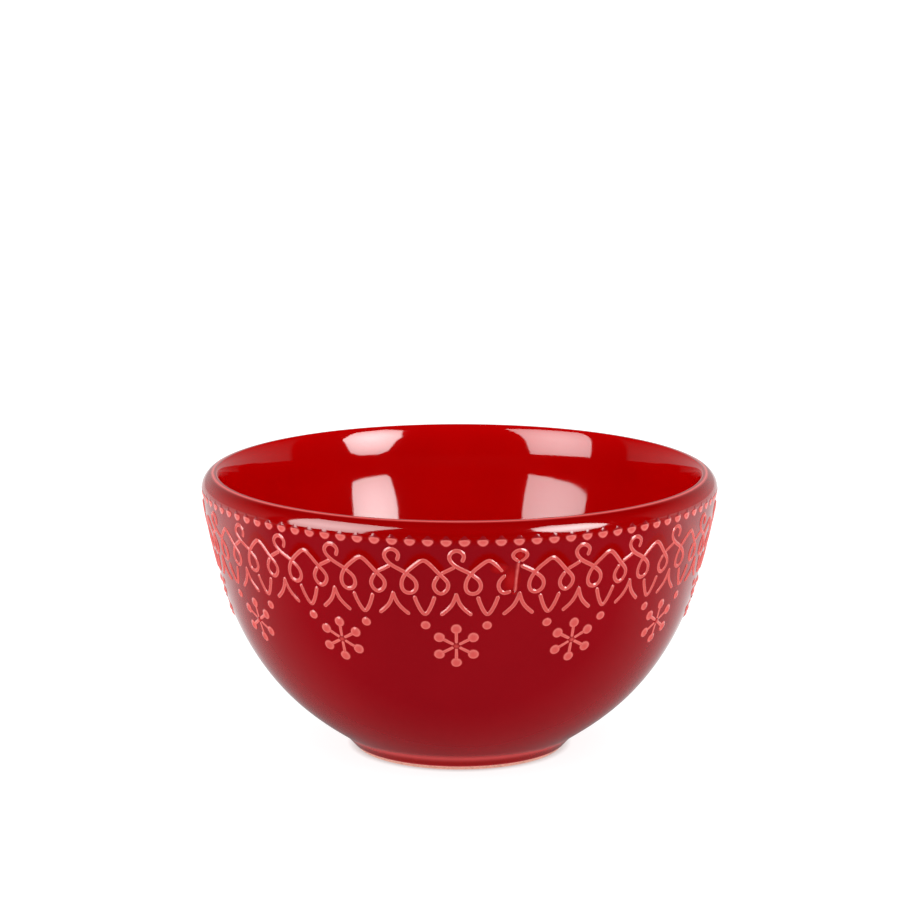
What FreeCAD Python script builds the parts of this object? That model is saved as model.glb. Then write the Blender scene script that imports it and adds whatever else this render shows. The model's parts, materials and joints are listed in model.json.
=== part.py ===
import FreeCAD, Part
import math
import os

# A moulded red-glazed bowl on a foot ring. Millimetres and degrees, +Z up. The origin is the
# centre of the foot ring's contact face. Angles are turned about Z from the front, which is -Y.

# Whole bowl
bowl_diameter = 150.0       # over the rim beads
bowl_height = 81.5
wall_thickness = 5.4        # clay and both glazes, just under the lip
base_thickness = 5.2        # the same where the wall leaves the foot, and at the floor
glaze_thickness = 0.35

# Lip: an outer quarter roll, and a small round on its inner edge
lip_width = 3.8
lip_height = 4.9
lip_edge_radius = 1.0
lip_flare_share = 0.21      # how far the inside leans in under the lip, for one down

# Foot ring, which flares up into the wall
foot_diameter = 61.1        # outer edge of the contact face
foot_height = 4.4
foot_flare = 3.9            # how much further out the ring is at its top than at the floor
foot_flare_power = 1.15     # 1 is a straight cone, and more is a hollow cove
foot_ring_width = 6.0
foot_edge_radius = 0.4
foot_recess_depth = 4.7
bare_foot_height = 1.2      # fired clay left without glaze

# Wall ground between the foot's top and the lip, as shares of the span in radius and in height
wall_shares = [(0.0, 0.0), (0.134, 0.050), (0.402, 0.175), (0.681, 0.382), (0.799, 0.521),
               (0.876, 0.659), (0.966, 0.867), (1.0, 1.0)]
wall_start_share = 0.66     # rise for one across, where the wall leaves the foot
quarter_share = 0.5523      # reach of the handles that make a quarter round

# Rim beads
bead_count = 94
bead_width = 3.4
bead_proud = 0.7
bead_rise = 0.5             # above the foot of the lip
first_bead_angle = 0.9

# Relief strokes: rounded ridges that lie on the wall. Their points are shares of a repeat
# across and of their motif's rise upward, and they end just short of the stroke they meet.
stroke_width = 1.3
stroke_proud = 0.6
stroke_step_share = 0.75    # distance between a stroke's sections, as a share of its width
end_shares = [0.10, 0.30]   # sections that round an end off, as shares of the width
near_share = 0.01           # how far ahead a stroke looks for its direction

# Lace band: repeats of a looped arch, a curl with a tail and a small leaf
lace_repeats = 26
first_peak_angle = -0.85
lace_rise = 12.5
lace_gap = 2.6              # from the lace's top line up to the foot of the lip
arch_rise_share = 0.764
arch_shares = [(-0.246, 0.562), (-0.130, 0.346), (-0.120, 0.180), (-0.165, 0.045), (-0.243, 0.0),
               (-0.320, 0.065), (-0.352, 0.230), (-0.282, 0.586), (-0.100, 0.906), (0.0, 1.0),
               (0.095, 0.895), (0.257, 0.576), (0.374, 0.283), (0.328, 0.073), (0.250, 0.005),
               (0.152, 0.209), (0.210, 0.492)]
curl_rise_share = 0.52
curl_shares = [(0.098, 0.569), (0.116, 0.785), (0.0, 1.0), (-0.104, 0.754), (-0.020, 0.354),
               (0.138, 0.100), (0.196, 0.036)]
leaf_shares = [(-0.194, 0.031), (-0.118, 0.137), (-0.050, 0.238)]
leaf_width = 1.0

# Chevron row: a round-footed vee under each arch, and a pointed peak between each two,
# of which the left leg is given and runs a little past the middle
chevron_rise = 4.8
chevron_gap = 1.3           # from the chevrons up to the lace
vee_shares = [(-0.155, 1.0), (-0.072, 0.280), (0.0, 0.0), (0.072, 0.280), (0.155, 1.0)]
peak_shares = [(-0.225, 0.020), (-0.075, 0.562), (0.0, 1.210), (0.012, 1.420)]

# Pearls under the vees
pearl_gap = 3.3             # from a pearl's centre up to the vee
pearl_width = 2.5
pearl_proud = 0.7

# Snowflakes under every second peak
flake_gap = 9.4             # from a snowflake's centre up to the peak's feet
flake_radius = 5.35
flake_arms = 6
flake_arm_width = 0.9
flake_pearl_width = 2.9
flake_pearl_proud = 0.8

# Mould seam, a fault of this casting: one curl is filled, with a ridge running down from it
seam_repeat = 1
seam_width = 1.0
seam_foot_share = 0.07      # of the lace's rise
seam_rise_share = 0.605
seam_shares = [(-0.034, 0.0), (-0.038, 0.5), (-0.034, 1.0)]
tail_shares = [(0.018, 0.262), (0.138, 0.100), (0.196, 0.036)]
lump_share = 0.75           # middle of the filled curl, of the curl's rise
lump_width = 4.6
lump_proud = 0.7

# Worked out from the sizes above
rim_radius = bowl_diameter / 2 - bead_proud
lip_foot = bowl_height - lip_height
lip_top_radius = rim_radius - lip_width
foot_radius = foot_diameter / 2
wall_start_radius = foot_radius + foot_flare
recess_radius = foot_radius - foot_ring_width
repeat_turn = 360 / lace_repeats
lace_foot = lip_foot - lace_gap - lace_rise
arch_rise = arch_rise_share * lace_rise
curl_rise = curl_rise_share * lace_rise
curl_foot = lace_foot + lace_rise - curl_rise
chevron_foot = lace_foot - chevron_gap - chevron_rise
pearl_centre = chevron_foot - pearl_gap
flake_centre = chevron_foot - flake_gap
vee_angle = first_peak_angle + repeat_turn / 2
seam_angle = first_peak_angle + repeat_turn * seam_repeat
UP = FreeCAD.Vector(0, 0, 1)
ACROSS = FreeCAD.Vector(1, 0, 0)
CENTRE = FreeCAD.Vector(0, 0, 0)


def place(radius, height):
    """A point of the section, which lies in the XZ plane."""
    return FreeCAD.Vector(radius, 0, height)


def line(start, end):
    """A straight edge."""
    return Part.LineSegment(start, end).toShape()


def quarter(start, corner, end):
    """A quarter round from start to end that would fill the square at corner."""
    curve = Part.BezierCurve()
    first_handle = start + (corner - start) * quarter_share
    last_handle = end + (corner - end) * quarter_share
    curve.setPoles([start, first_handle, last_handle, end])
    return curve.toShape()


def spun(edges):
    """The solid that a closed outline sweeps about the bowl's axis."""
    face = Part.Face(Part.Wire(Part.__sortEdges__(edges)))
    return face.revolve(CENTRE, UP, 360)


def foot_point(height, depth):
    """A point of the foot's flared side, under that depth of glaze."""
    flare = foot_flare * (height / foot_height) ** foot_flare_power
    return place(foot_radius + flare - depth, height)


def foot_side(low, depth):
    """The foot's side from a low height up to its top."""
    points = [foot_point(low, depth), foot_point((low + foot_height) / 2, depth),
              foot_point(foot_height, depth)]
    return Part.Arc(*points).toShape()


def smooth_curve(points, first=None, last=None):
    """A curve through the points, with its directions at both ends if they are given."""
    curve = Part.BSplineCurve()
    if first is None:
        curve.interpolate(Points=points)
    else:
        curve.interpolate(Points=points, InitialTangent=first, FinalTangent=last)
    return curve


def ground_points():
    """The glazed wall's points, from the foot's top to the foot of the lip."""
    radius_span = rim_radius - wall_start_radius
    height_span = lip_foot - foot_height
    return [place(wall_start_radius + radius_share * radius_span,
                  foot_height + height_share * height_span)
            for radius_share, height_share in wall_shares]


GROUND = smooth_curve(ground_points(), place(1, wall_start_share), UP)


def wall_stations():
    """Each point of the wall with its outward direction and its share of the wall's height."""
    stations = []
    for point, shares in zip(ground_points(), wall_shares):
        along = GROUND.tangent(GROUND.parameter(point))[0]
        stations.append((point, place(along.z, -along.x), shares[1]))
    return stations


def outer_curve(depth):
    """The wall's outer side, under that depth of glaze."""
    points = [point - outward * depth for point, outward, height_share in wall_stations()]
    points[0] = foot_point(foot_height, depth)
    points[-1] = place(rim_radius - depth, lip_foot)
    return smooth_curve(points, place(1, wall_start_share), UP).toShape()


def floor_height():
    """The glazed floor's height at the middle of the inside."""
    return foot_recess_depth + base_thickness


def inner_curve(depth):
    """The inside from the lip's inner edge to the floor's centre, under that depth of glaze."""
    points = [place(lip_top_radius - lip_edge_radius + depth, bowl_height - lip_edge_radius)]
    for point, outward, height_share in reversed(wall_stations()[1:-1]):
        thickness = base_thickness + (wall_thickness - base_thickness) * height_share
        points.append(point - outward * (thickness - depth))
    points.append(place(0, floor_height() - depth))
    return smooth_curve(points, place(-lip_flare_share, -1), place(-1, 0)).toShape()


def lip_roll(depth):
    """The outer quarter of the lip, under that depth of glaze."""
    side = place(rim_radius - depth, lip_foot)
    top = place(lip_top_radius, bowl_height - depth)
    return quarter(side, place(side.x, top.z), top)


def lip_edge(depth):
    """The small round on the lip's inner edge, under that depth of glaze."""
    top = place(lip_top_radius, bowl_height - depth)
    side = place(lip_top_radius - lip_edge_radius + depth, bowl_height - lip_edge_radius)
    corner = place(side.x + lip_flare_share * (top.z - side.z), top.z)
    return quarter(top, corner, side)


def lip_joint():
    """The short line across the glaze where inside and outside meet, on top of the lip."""
    return line(place(lip_top_radius, bowl_height - glaze_thickness),
                place(lip_top_radius, bowl_height))


def clay_wall():
    """Wall and floor in one thrown or moulded piece of clay, without the foot ring."""
    clay_floor = foot_recess_depth + glaze_thickness
    foot_edge = foot_point(foot_height, glaze_thickness)
    ring_edge = place(recess_radius, foot_height)
    recess_edge = place(recess_radius, clay_floor)
    recess_centre = place(0, clay_floor)
    floor_centre = place(0, floor_height() - glaze_thickness)
    return spun([outer_curve(glaze_thickness), lip_roll(glaze_thickness), lip_edge(glaze_thickness),
                 inner_curve(glaze_thickness), line(floor_centre, recess_centre),
                 line(recess_centre, recess_edge), line(recess_edge, ring_edge),
                 line(ring_edge, foot_edge)])


def foot_ring():
    """The ring that the bowl stands on, with a narrow round on both edges of its flat face."""
    inner_top = place(recess_radius, foot_height)
    inner_low = place(recess_radius, foot_edge_radius)
    inner_flat = place(recess_radius + foot_edge_radius, 0)
    outer_low = foot_point(foot_edge_radius, glaze_thickness)
    outer_flat = place(outer_low.x - foot_edge_radius, 0)
    outer_top = foot_point(foot_height, glaze_thickness)
    return spun([line(outer_top, inner_top), line(inner_top, inner_low),
                 quarter(inner_low, place(recess_radius, 0), inner_flat),
                 line(inner_flat, outer_flat),
                 quarter(outer_flat, place(outer_low.x, 0), outer_low),
                 foot_side(foot_edge_radius, glaze_thickness)])


def inside_glaze():
    """The glaze of the inside, from the top of the lip to the floor."""
    floor_line = line(place(0, floor_height() - glaze_thickness), place(0, floor_height()))
    return spun([lip_joint(), lip_edge(0), inner_curve(0), floor_line,
                 inner_curve(glaze_thickness), lip_edge(glaze_thickness)])


def outside_glaze():
    """The glaze of the outside, from the top of the lip to just above the foot's bare edge."""
    low_line = line(foot_point(bare_foot_height, 0), foot_point(bare_foot_height, glaze_thickness))
    return spun([lip_joint(), lip_roll(0), outer_curve(0), foot_side(bare_foot_height, 0),
                 low_line, foot_side(bare_foot_height, glaze_thickness),
                 outer_curve(glaze_thickness), lip_roll(glaze_thickness)])


def base_glaze():
    """The glaze of the recess inside the foot ring, an upturned tray."""
    clay_floor = foot_recess_depth + glaze_thickness
    skin_radius = recess_radius - glaze_thickness
    corners = [place(0, clay_floor), place(recess_radius, clay_floor),
               place(recess_radius, bare_foot_height), place(skin_radius, bare_foot_height),
               place(skin_radius, foot_recess_depth), place(0, foot_recess_depth)]
    return spun([line(corner, corners[index - 1]) for index, corner in enumerate(corners)])


def glazed_block():
    """The whole outside of the glazed bowl, filled solid: what relief is cut to sit on."""
    foot_centre = place(0, foot_height)
    top_centre = place(0, bowl_height)
    return spun([line(foot_centre, foot_point(foot_height, 0)), outer_curve(0), lip_roll(0),
                 line(place(lip_top_radius, bowl_height), top_centre),
                 line(top_centre, foot_centre)])


BLOCK = glazed_block()


def parameter_at(height):
    """Where the glazed wall's curve passes a height, found by halving."""
    low = GROUND.FirstParameter
    high = GROUND.LastParameter
    for halving in range(40):
        middle = (low + high) / 2
        if GROUND.value(middle).z < height:
            low = middle
        else:
            high = middle
    return low


def ground_at(height):
    """The glazed wall's point and outward direction at a height."""
    parameter = parameter_at(height)
    along = GROUND.tangent(parameter)[0]
    return GROUND.value(parameter), place(along.z, -along.x)


def turned(shape, angle):
    """A copy of a shape, turned about the bowl's axis."""
    copy = shape.copy()
    copy.rotate(CENTRE, UP, angle)
    return copy


def at_front(vector):
    """A vector of the section, laid in the YZ plane at the front."""
    return FreeCAD.Vector(0, -vector.x, vector.z)


def on_wall(angle, height):
    """The glazed wall's point and outward direction, at an angle from the front."""
    point, outward = ground_at(height)
    turn = FreeCAD.Rotation(UP, angle)
    return turn.multVec(at_front(point)), turn.multVec(at_front(outward))


def ridge_section(point, outward, along, width, proud):
    """A low round cap over a straight foot: the section of a stroke."""
    aside = outward.cross(along).normalize() * (width / 2)
    crown = Part.Arc(point - aside, point + outward * proud, point + aside).toShape()
    return Part.Wire([crown, line(point + aside, point - aside)])


def section_distances(length, width):
    """Distances along a stroke: close together at both ends, and evenly spaced between them."""
    steps = math.ceil(length / (width * stroke_step_share))
    even = [length * index / steps for index in range(1, steps)]
    first = [width * share for share in end_shares]
    last = [length - distance for distance in reversed(first)]
    return first + [distance for distance in even if width < 2 * distance < 2 * length - width] + last


def fullness(distance, length, width):
    """How full a stroke's section is near its ends, as in a half round: 1 past half its width."""
    from_end = min(distance, length - distance, width / 2)
    return math.sqrt(1 - (1 - 2 * from_end / width) ** 2)


def stroke(shares, foot, rise, width):
    """A ridge along a smooth path on the wall at the front, rounded off at both ends."""
    repeat_width = math.radians(repeat_turn) * ground_at(foot + rise / 2)[0].x
    path = smooth_curve([place(share * repeat_width, foot + height_share * rise)
                         for share, height_share in shares]).toShape()
    sections = []
    for distance in section_distances(path.Length, width):
        parameter = path.getParameterByLength(distance)
        flat = path.valueAt(parameter)
        ahead = flat + path.tangentAt(parameter) * (width * near_share)
        point, outward = on_wall(flat.x / repeat_width * repeat_turn, flat.z)
        next_point = on_wall(ahead.x / repeat_width * repeat_turn, ahead.z)[0]
        full = fullness(distance, path.Length, width)
        sections.append(ridge_section(point, outward, next_point - point,
                                      width * full, stroke_proud * full))
    return Part.makeLoft(sections, True)


def seated(shape):
    """The part of a relief that stands out of the glazed wall."""
    return shape.cut(BLOCK)


def pearl(angle, height, width, proud):
    """A low round cap on the wall, as a ball whose centre lies under the ground."""
    point, outward = ground_at(height)
    radius = (width * width / 4 + proud * proud) / (2 * proud)
    ball = Part.makeSphere(radius, at_front(point - outward * (radius - proud)))
    return turned(ball, angle)


def lace_arch():
    """An arch that ends in a closed loop on its left and an open one on its right."""
    return stroke(arch_shares, lace_foot, arch_rise, stroke_width)


def lace_curl():
    """A curl over each peak, with a tail that runs down to the next arch."""
    return stroke(curl_shares, curl_foot, curl_rise, stroke_width)


def lace_leaf():
    """A short leaf between an arch and the next curl's tail."""
    return stroke(leaf_shares, curl_foot, curl_rise, leaf_width)


def vee():
    """A round-footed vee."""
    return stroke(vee_shares, chevron_foot, chevron_rise, stroke_width)


def peak():
    """Two hollow-sided legs that meet in a point."""
    side = bowl_diameter
    right_half = Part.makeBox(side, side, side, FreeCAD.Vector(0, -side, 0))
    left = stroke(peak_shares, chevron_foot, chevron_rise, stroke_width).cut(right_half)
    return left.fuse(left.mirror(CENTRE, ACROSS))


def snowflake():
    """Thin arms with a pearl at the end of each."""
    hub, outward = ground_at(flake_centre)
    steepness = outward.x
    solids = [Part.makeSphere(flake_arm_width / 2, at_front(hub))]
    for index in range(flake_arms):
        turn = 2 * math.pi * index / flake_arms
        height = flake_centre + flake_radius * math.cos(turn) * steepness
        point = ground_at(height)[0]
        angle = math.degrees(flake_radius * math.sin(turn) / point.x)
        tip = turned(Part.Vertex(at_front(point)), angle).Point
        reach = tip - at_front(hub)
        solids.append(Part.makeCylinder(flake_arm_width / 2, reach.Length, at_front(hub), reach))
        solids.append(pearl(angle, height, flake_pearl_width, flake_pearl_proud))
    return seated(solids[0].multiFuse(solids[1:]))


def seam():
    """The filled curl, the ridge under it and the curl's own tail."""
    ridge = stroke(seam_shares, lace_foot + seam_foot_share * lace_rise,
                   seam_rise_share * lace_rise, seam_width)
    tail = stroke(tail_shares, curl_foot, curl_rise, stroke_width)
    lump = seated(pearl(0, curl_foot + lump_share * curl_rise, lump_width, lump_proud))
    return Part.makeCompound([ridge, tail, lump])


def bead():
    """A round bead under the lip, which runs up into the roll."""
    centre = FreeCAD.Vector(0, -(rim_radius + bead_proud - bead_width / 2), lip_foot + bead_rise)
    return seated(Part.makeSphere(bead_width / 2, centre))


def row(shape, places, first_angle, step, left_out=()):
    """Copies of a motif round the bowl."""
    return Part.makeCompound([turned(shape, first_angle + step * index)
                              for index in range(places) if index not in left_out])


def write(name, shape):
    """One file per piece, named for it."""
    shape.exportStep("parts/" + name + ".step")
    print(name, len(shape.Solids))


os.makedirs("parts", exist_ok=True)
write("clay_wall", clay_wall())
write("foot_ring", foot_ring())
write("inside_glaze", inside_glaze())
write("outside_glaze", outside_glaze())
write("base_glaze", base_glaze())
write("rim_beads", row(bead(), bead_count, first_bead_angle, 360 / bead_count))
write("lace_arches", row(lace_arch(), lace_repeats, vee_angle, repeat_turn))
write("lace_curls", row(lace_curl(), lace_repeats, first_peak_angle, repeat_turn, [seam_repeat]))
write("lace_leaves", row(lace_leaf(), lace_repeats, first_peak_angle, repeat_turn, [seam_repeat]))
write("chevron_vees", row(vee(), lace_repeats, vee_angle, repeat_turn))
write("chevron_peaks", row(peak(), lace_repeats, first_peak_angle, repeat_turn))
write("pearl_dots", row(seated(pearl(0, pearl_centre, pearl_width, pearl_proud)),
                        lace_repeats, vee_angle, repeat_turn))
write("snowflakes", row(snowflake(), lace_repeats // 2, first_peak_angle, 2 * repeat_turn))
write("seam_ridge", turned(seam(), seam_angle))
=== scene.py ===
"""Looks of a moulded bowl in a gloss red glaze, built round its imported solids.

Lengths are millimetres until a mesh is made, which turns them to metres. The finishes and the
studio are in metres. Angles are degrees about the bowl's axis from its front, which is -Y. The
wall's section is that of the solids, a little fuller at the lip and below it on the inside. Relief
is swept or domed straight on the glazed wall, so that its foot runs out into it.
"""

import json
import logging
import math
from abc import ABC, abstractmethod
from dataclasses import dataclass, field
from enum import Enum

import bpy
import numpy as np
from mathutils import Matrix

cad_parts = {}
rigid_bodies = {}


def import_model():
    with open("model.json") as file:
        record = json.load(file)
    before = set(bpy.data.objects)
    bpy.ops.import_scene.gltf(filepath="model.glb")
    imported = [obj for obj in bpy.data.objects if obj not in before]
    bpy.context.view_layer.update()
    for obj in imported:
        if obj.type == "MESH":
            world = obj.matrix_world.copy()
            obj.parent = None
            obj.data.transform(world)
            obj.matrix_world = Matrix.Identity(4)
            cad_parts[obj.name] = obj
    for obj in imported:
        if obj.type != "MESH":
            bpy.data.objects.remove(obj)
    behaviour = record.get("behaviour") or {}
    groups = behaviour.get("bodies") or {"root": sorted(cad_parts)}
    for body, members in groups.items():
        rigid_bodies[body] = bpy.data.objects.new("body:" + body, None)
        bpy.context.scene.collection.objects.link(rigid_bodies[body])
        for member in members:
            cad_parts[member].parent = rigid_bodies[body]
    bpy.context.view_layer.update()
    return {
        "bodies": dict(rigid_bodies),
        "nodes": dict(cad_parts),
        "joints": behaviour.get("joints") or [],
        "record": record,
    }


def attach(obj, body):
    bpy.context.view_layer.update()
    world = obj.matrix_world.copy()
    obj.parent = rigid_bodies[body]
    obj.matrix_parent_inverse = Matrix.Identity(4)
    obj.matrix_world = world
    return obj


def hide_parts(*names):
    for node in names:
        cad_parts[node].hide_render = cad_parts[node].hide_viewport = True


LOG = logging.getLogger("bowl")
METRES = 0.001
BODY = "root"
Array = np.ndarray
Tree = bpy.types.NodeTree
Socket = bpy.types.NodeSocket


class Slot(Enum):
    """The record's material slots."""

    CLAY = "fired_clay"
    RED = "red_glaze"
    RELIEF = "relief_glaze"


# Curves and the bowl's section


def directions(curve: Array) -> Array:
    """Unit steps along a curve, at each of its points."""
    along = np.gradient(curve, axis=0)
    return along / np.hypot(*along.T)[:, None]


def spline(points: Array, first: tuple | None = None, last: tuple | None = None,
           count: int = 400) -> Array:
    """A smooth curve through points, as cubics that share slope and curvature at each point.

    The parameter is the distance along the chords. With h the chord lengths, d the secants and m
    the slopes, each inner point gives m0/h0 + 2 m1 (1/h0 + 1/h1) + m2/h1 = 3 (d0/h0 + d1/h1). A
    free end has no curvature, 2 m0 + m1 = 3 d0, and a clamped end has the unit slope given.

    Args:
        points: (n, 2) points to pass through.
        first: direction at the first point, or None for a free end.
        last: direction at the last point, or None for a free end.
        count: how many points the curve is sampled at.

    Returns:
        (count, 2) points along the curve.
    """
    points = np.asarray(points, float)
    chords = np.hypot(*np.diff(points, axis=0).T)
    knots = np.concatenate([[0.0], np.cumsum(chords)])
    secants = np.diff(points, axis=0) / chords[:, None]
    inverse = 1 / chords
    size = len(points)
    matrix = np.zeros((size, size))
    right = np.zeros((size, 2))
    inner = np.arange(1, size - 1)
    matrix[inner, inner - 1] = inverse[:-1]
    matrix[inner, inner] = 2 * (inverse[:-1] + inverse[1:])
    matrix[inner, inner + 1] = inverse[1:]
    right[1:-1] = 3 * (secants[:-1] * inverse[:-1, None] + secants[1:] * inverse[1:, None])
    for row, neighbour, given, secant in ((0, 1, first, 0), (size - 1, size - 2, last, -1)):
        if given is None:
            matrix[row, row] = 2
            matrix[row, neighbour] = 1
            right[row] = 3 * secants[secant]
        else:
            matrix[row, row] = 1
            right[row] = np.asarray(given, float) / np.hypot(*given)
    slopes = np.linalg.solve(matrix, right)
    place = np.linspace(0, knots[-1], count)
    span = np.clip(np.searchsorted(knots, place, side="right") - 1, 0, size - 2)
    width = chords[span][:, None]
    share = ((place - knots[span]) / chords[span])[:, None]
    return (
        (2 * share**3 - 3 * share**2 + 1) * points[span]
        + (share**3 - 2 * share**2 + share) * width * slopes[span]
        + (3 * share**2 - 2 * share**3) * points[span + 1]
        + (share**3 - share**2) * width * slopes[span + 1]
    )


def resample(curve: Array, step: float) -> Array:
    """The same curve with points at even distances along it.

    Args:
        curve: (n, 2) points.
        step: about how far apart the new points are.

    Returns:
        (m, 2) points, with the curve's own first and last.
    """
    along = np.concatenate([[0.0], np.cumsum(np.hypot(*np.diff(curve, axis=0).T))])
    places = np.linspace(0, along[-1], max(2, round(along[-1] / step) + 1))
    return np.stack([np.interp(places, along, curve[:, axis]) for axis in range(2)], axis=1)


def quarter(start: tuple, corner: tuple, end: tuple, count: int = 24,
            reach: float = 0.5523) -> Array:
    """A quarter round: the Bezier cubic a^3 p + 3 a^2 b q + 3 a b^2 r + b^3 s, with a = 1 - b.

    Args:
        start: its first point, p.
        corner: where the lines that it rounds off would meet.
        end: its last point, s.
        count: how many points it is sampled at.
        reach: how far the handles q and r lie from the ends to the corner, as a share.

    Returns:
        (count, 2) points.
    """
    share = np.linspace(0, 1, count)[:, None]
    start, corner, end = (np.asarray(point, float) for point in (start, corner, end))
    handle_a = start + (corner - start) * reach
    handle_b = end + (corner - end) * reach
    left = 1 - share
    return (
        left**3 * start
        + 3 * left**2 * share * handle_a
        + 3 * left * share**2 * handle_b
        + share**3 * end
    )


@dataclass(frozen=True)
class Section:
    """The bowl's section, in radius and height, with the solids' own sizes.

    Attributes:
        lip_edge: radius of the solids' round on the lip's inner edge.
        lip_flare: how far the inside leans outward at the lip, per unit of height.
        roll_reach: fullness of the lip's roll, as the reach of its handles.
        foot_flare: how far the foot's side runs out up to its top.
        foot_power: power of the height by which it does.
        bare_foot: height up to which the foot has no glaze.
        wall_start: rise of the wall where it leaves the foot, per unit of radius.
        round_low: height at which the inside's wall runs into the lip's round.
        round_lean: how far that round's corner leans out, per unit of height.
        fuller: (height, how far the inside stands in from that of the solids).
        shares: the outside's points, as shares of the wall's width and height.
    """

    height: float = 81.5
    rim_radius: float = 74.3
    lip_width: float = 3.8
    lip_height: float = 4.9
    lip_edge: float = 1.0
    lip_flare: float = 0.21
    roll_reach: float = 0.65
    wall_thickness: float = 5.4
    base_thickness: float = 5.2
    glaze: float = 0.35
    foot_radius: float = 30.55
    foot_height: float = 4.4
    foot_flare: float = 3.9
    foot_power: float = 1.15
    foot_edge: float = 0.4
    recess_radius: float = 24.55
    recess_depth: float = 4.7
    bare_foot: float = 1.2
    wall_start: float = 0.66
    round_low: float = 77.3
    round_lean: float = 0.25
    fuller: tuple = (
        (25.0, 0.0), (45.0, 0.35), (60.0, 0.55), (66.0, 0.58), (68.5, 0.61), (71.0, 0.70),
        (73.5, 0.74), (76.0, 0.62), (77.3, 0.50),
    )
    shares: tuple = (
        (0.0, 0.0), (0.134, 0.050), (0.402, 0.175), (0.681, 0.382),
        (0.799, 0.521), (0.876, 0.659), (0.966, 0.867), (1.0, 1.0),
    )

    @property
    def lip_foot(self) -> float:
        """Height at which the wall ends and the lip's roll starts."""
        return self.height - self.lip_height

    @property
    def lip_top(self) -> float:
        """Radius of the top of the lip."""
        return self.rim_radius - self.lip_width

    def ground(self) -> Array:
        """The glazed wall from the foot's top to the lip, as a dense curve."""
        start = self.foot_radius + self.foot_flare
        shares = np.array(self.shares)
        spans = np.array([self.rim_radius - start, self.lip_foot - self.foot_height])
        points = np.array([start, self.foot_height]) + shares * spans
        return spline(points, (1, self.wall_start), (0, 1), 3000)

    def outside(self) -> Array:
        """The glazed outside from the foot's top over the wall and the lip's roll to its top."""
        side = (self.rim_radius, self.lip_foot)
        top = (self.lip_top, self.height)
        roll = quarter(side, (side[0], top[1]), top, 400, self.roll_reach)
        return np.vstack([self.ground(), roll[1:]])

    def foot_side(self, low: float, depth: float = 0.0, count: int = 12) -> Array:
        """The foot's side: its radius is foot radius + flare (height / foot height)^power.

        Args:
            low: height that it starts from.
            depth: how far it lies under the glaze.
            count: points up to the foot's top.

        Returns:
            (count, 2) points, upwards.
        """
        height = np.linspace(low, self.foot_height, count)
        flare = self.foot_flare * (height / self.foot_height) ** self.foot_power
        return np.stack([self.foot_radius + flare - depth, height], axis=1)

    def inside(self, depth: float = 0.0, count: int = 400) -> Array:
        """The inside from the lip's inner edge to the floor's centre, under a depth of glaze.

        Each wall point is moved in along its normal by a thickness that runs evenly from the
        base's to the lip's, and a smooth curve passes through the moved points.

        Args:
            depth: how far it lies under the glaze.
            count: points along it.

        Returns:
            (count, 2) points, downwards.
        """
        ground = self.ground()
        along = directions(ground)
        points = [(self.lip_top - self.lip_edge + depth, self.height - self.lip_edge)]
        for _, share in self.shares[-2:0:-1]:
            level = self.foot_height + share * (self.lip_foot - self.foot_height)
            spot = np.searchsorted(ground[:, 1], level)
            outward = np.array([along[spot, 1], -along[spot, 0]])
            thickness = self.base_thickness + (self.wall_thickness - self.base_thickness) * share
            points.append(tuple(ground[spot] - outward * (thickness - depth)))
        points.append((0.0, self.recess_depth + self.base_thickness - depth))
        return spline(np.array(points), (-self.lip_flare, -1), (-1, 0), count)

    def glazed_inside(self, depth: float = 0.0) -> Array:
        """The solids' inside below the lip's round, filled out where the wall swells into the lip.

        Args:
            depth: how far it lies under the glaze.

        Returns:
            (n, 2) points, downwards.
        """
        curve = self.inside(depth, 3000)
        level, fill = spline(np.array(self.fuller)).T
        height = np.concatenate([[self.round_low], curve[curve[:, 1] < self.round_low, 1]])
        radius = np.interp(-height, -curve[:, 1], curve[:, 0]) - np.interp(height, level, fill)
        return np.stack([radius, height], axis=1)

    def lip_round(self, depth: float = 0.0, count: int = 12) -> Array:
        """The round on the lip's inner side, from its top inwards to the wall.

        Args:
            depth: how far it lies under the glaze.
            count: points along it.

        Returns:
            (count, 2) points, downwards.
        """
        top = (self.lip_top, self.height - depth)
        side = self.glazed_inside(depth)[0]
        corner = (side[0] + self.round_lean * (top[1] - side[1]), top[1])
        return quarter(top, corner, side, count)


SECTION = Section()
OUTSIDE = SECTION.outside()
OUTSIDE_ALONG = directions(OUTSIDE)


def wall_radius(height: Array) -> Array:
    """Radius of the glazed outside at each height."""
    return np.interp(height, OUTSIDE[:, 1], OUTSIDE[:, 0])


def wall_slope(height: Array) -> Array:
    """How far the glazed outside rises in a unit step along it, at each height."""
    return np.interp(height, OUTSIDE[:, 1], OUTSIDE_ALONG[:, 1])


def on_wall(angle: Array, height: Array, proud: Array = 0.0) -> Array:
    """Points on the glazed outside.

    The section gives radius and outward direction at each height. A point stands proud along
    that direction, and is then turned about the axis: x = r sin(angle), y = -r cos(angle).

    Args:
        angle: degrees from the front.
        height: heights on the wall or the lip's roll.
        proud: how far each point stands out of the glaze.

    Returns:
        Array of the same shape as the inputs, with a last axis of x, y and z.
    """
    angle, height, proud = np.broadcast_arrays(np.radians(angle), height, proud)
    radius = wall_radius(height) + proud * wall_slope(height)
    out_z = -np.interp(height, OUTSIDE[:, 1], OUTSIDE_ALONG[:, 0])
    return np.stack(
        [radius * np.sin(angle), -radius * np.cos(angle), height + proud * out_z], axis=-1
    )


def smooth_step(value: Array, low: float, high: float) -> Array:
    """0 below low, 1 above high, and a smooth rise 3t^2 - 2t^3 between them."""
    share = np.clip((value - low) / (high - low), 0, 1)
    return share * share * (3 - 2 * share)


def plateau(value: Array, rise: tuple, fall: tuple) -> Array:
    """1 between a smooth rise and a smooth fall, and 0 outside them."""
    return smooth_step(value, *rise) * (1 - smooth_step(value, *fall))


# Meshes


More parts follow.
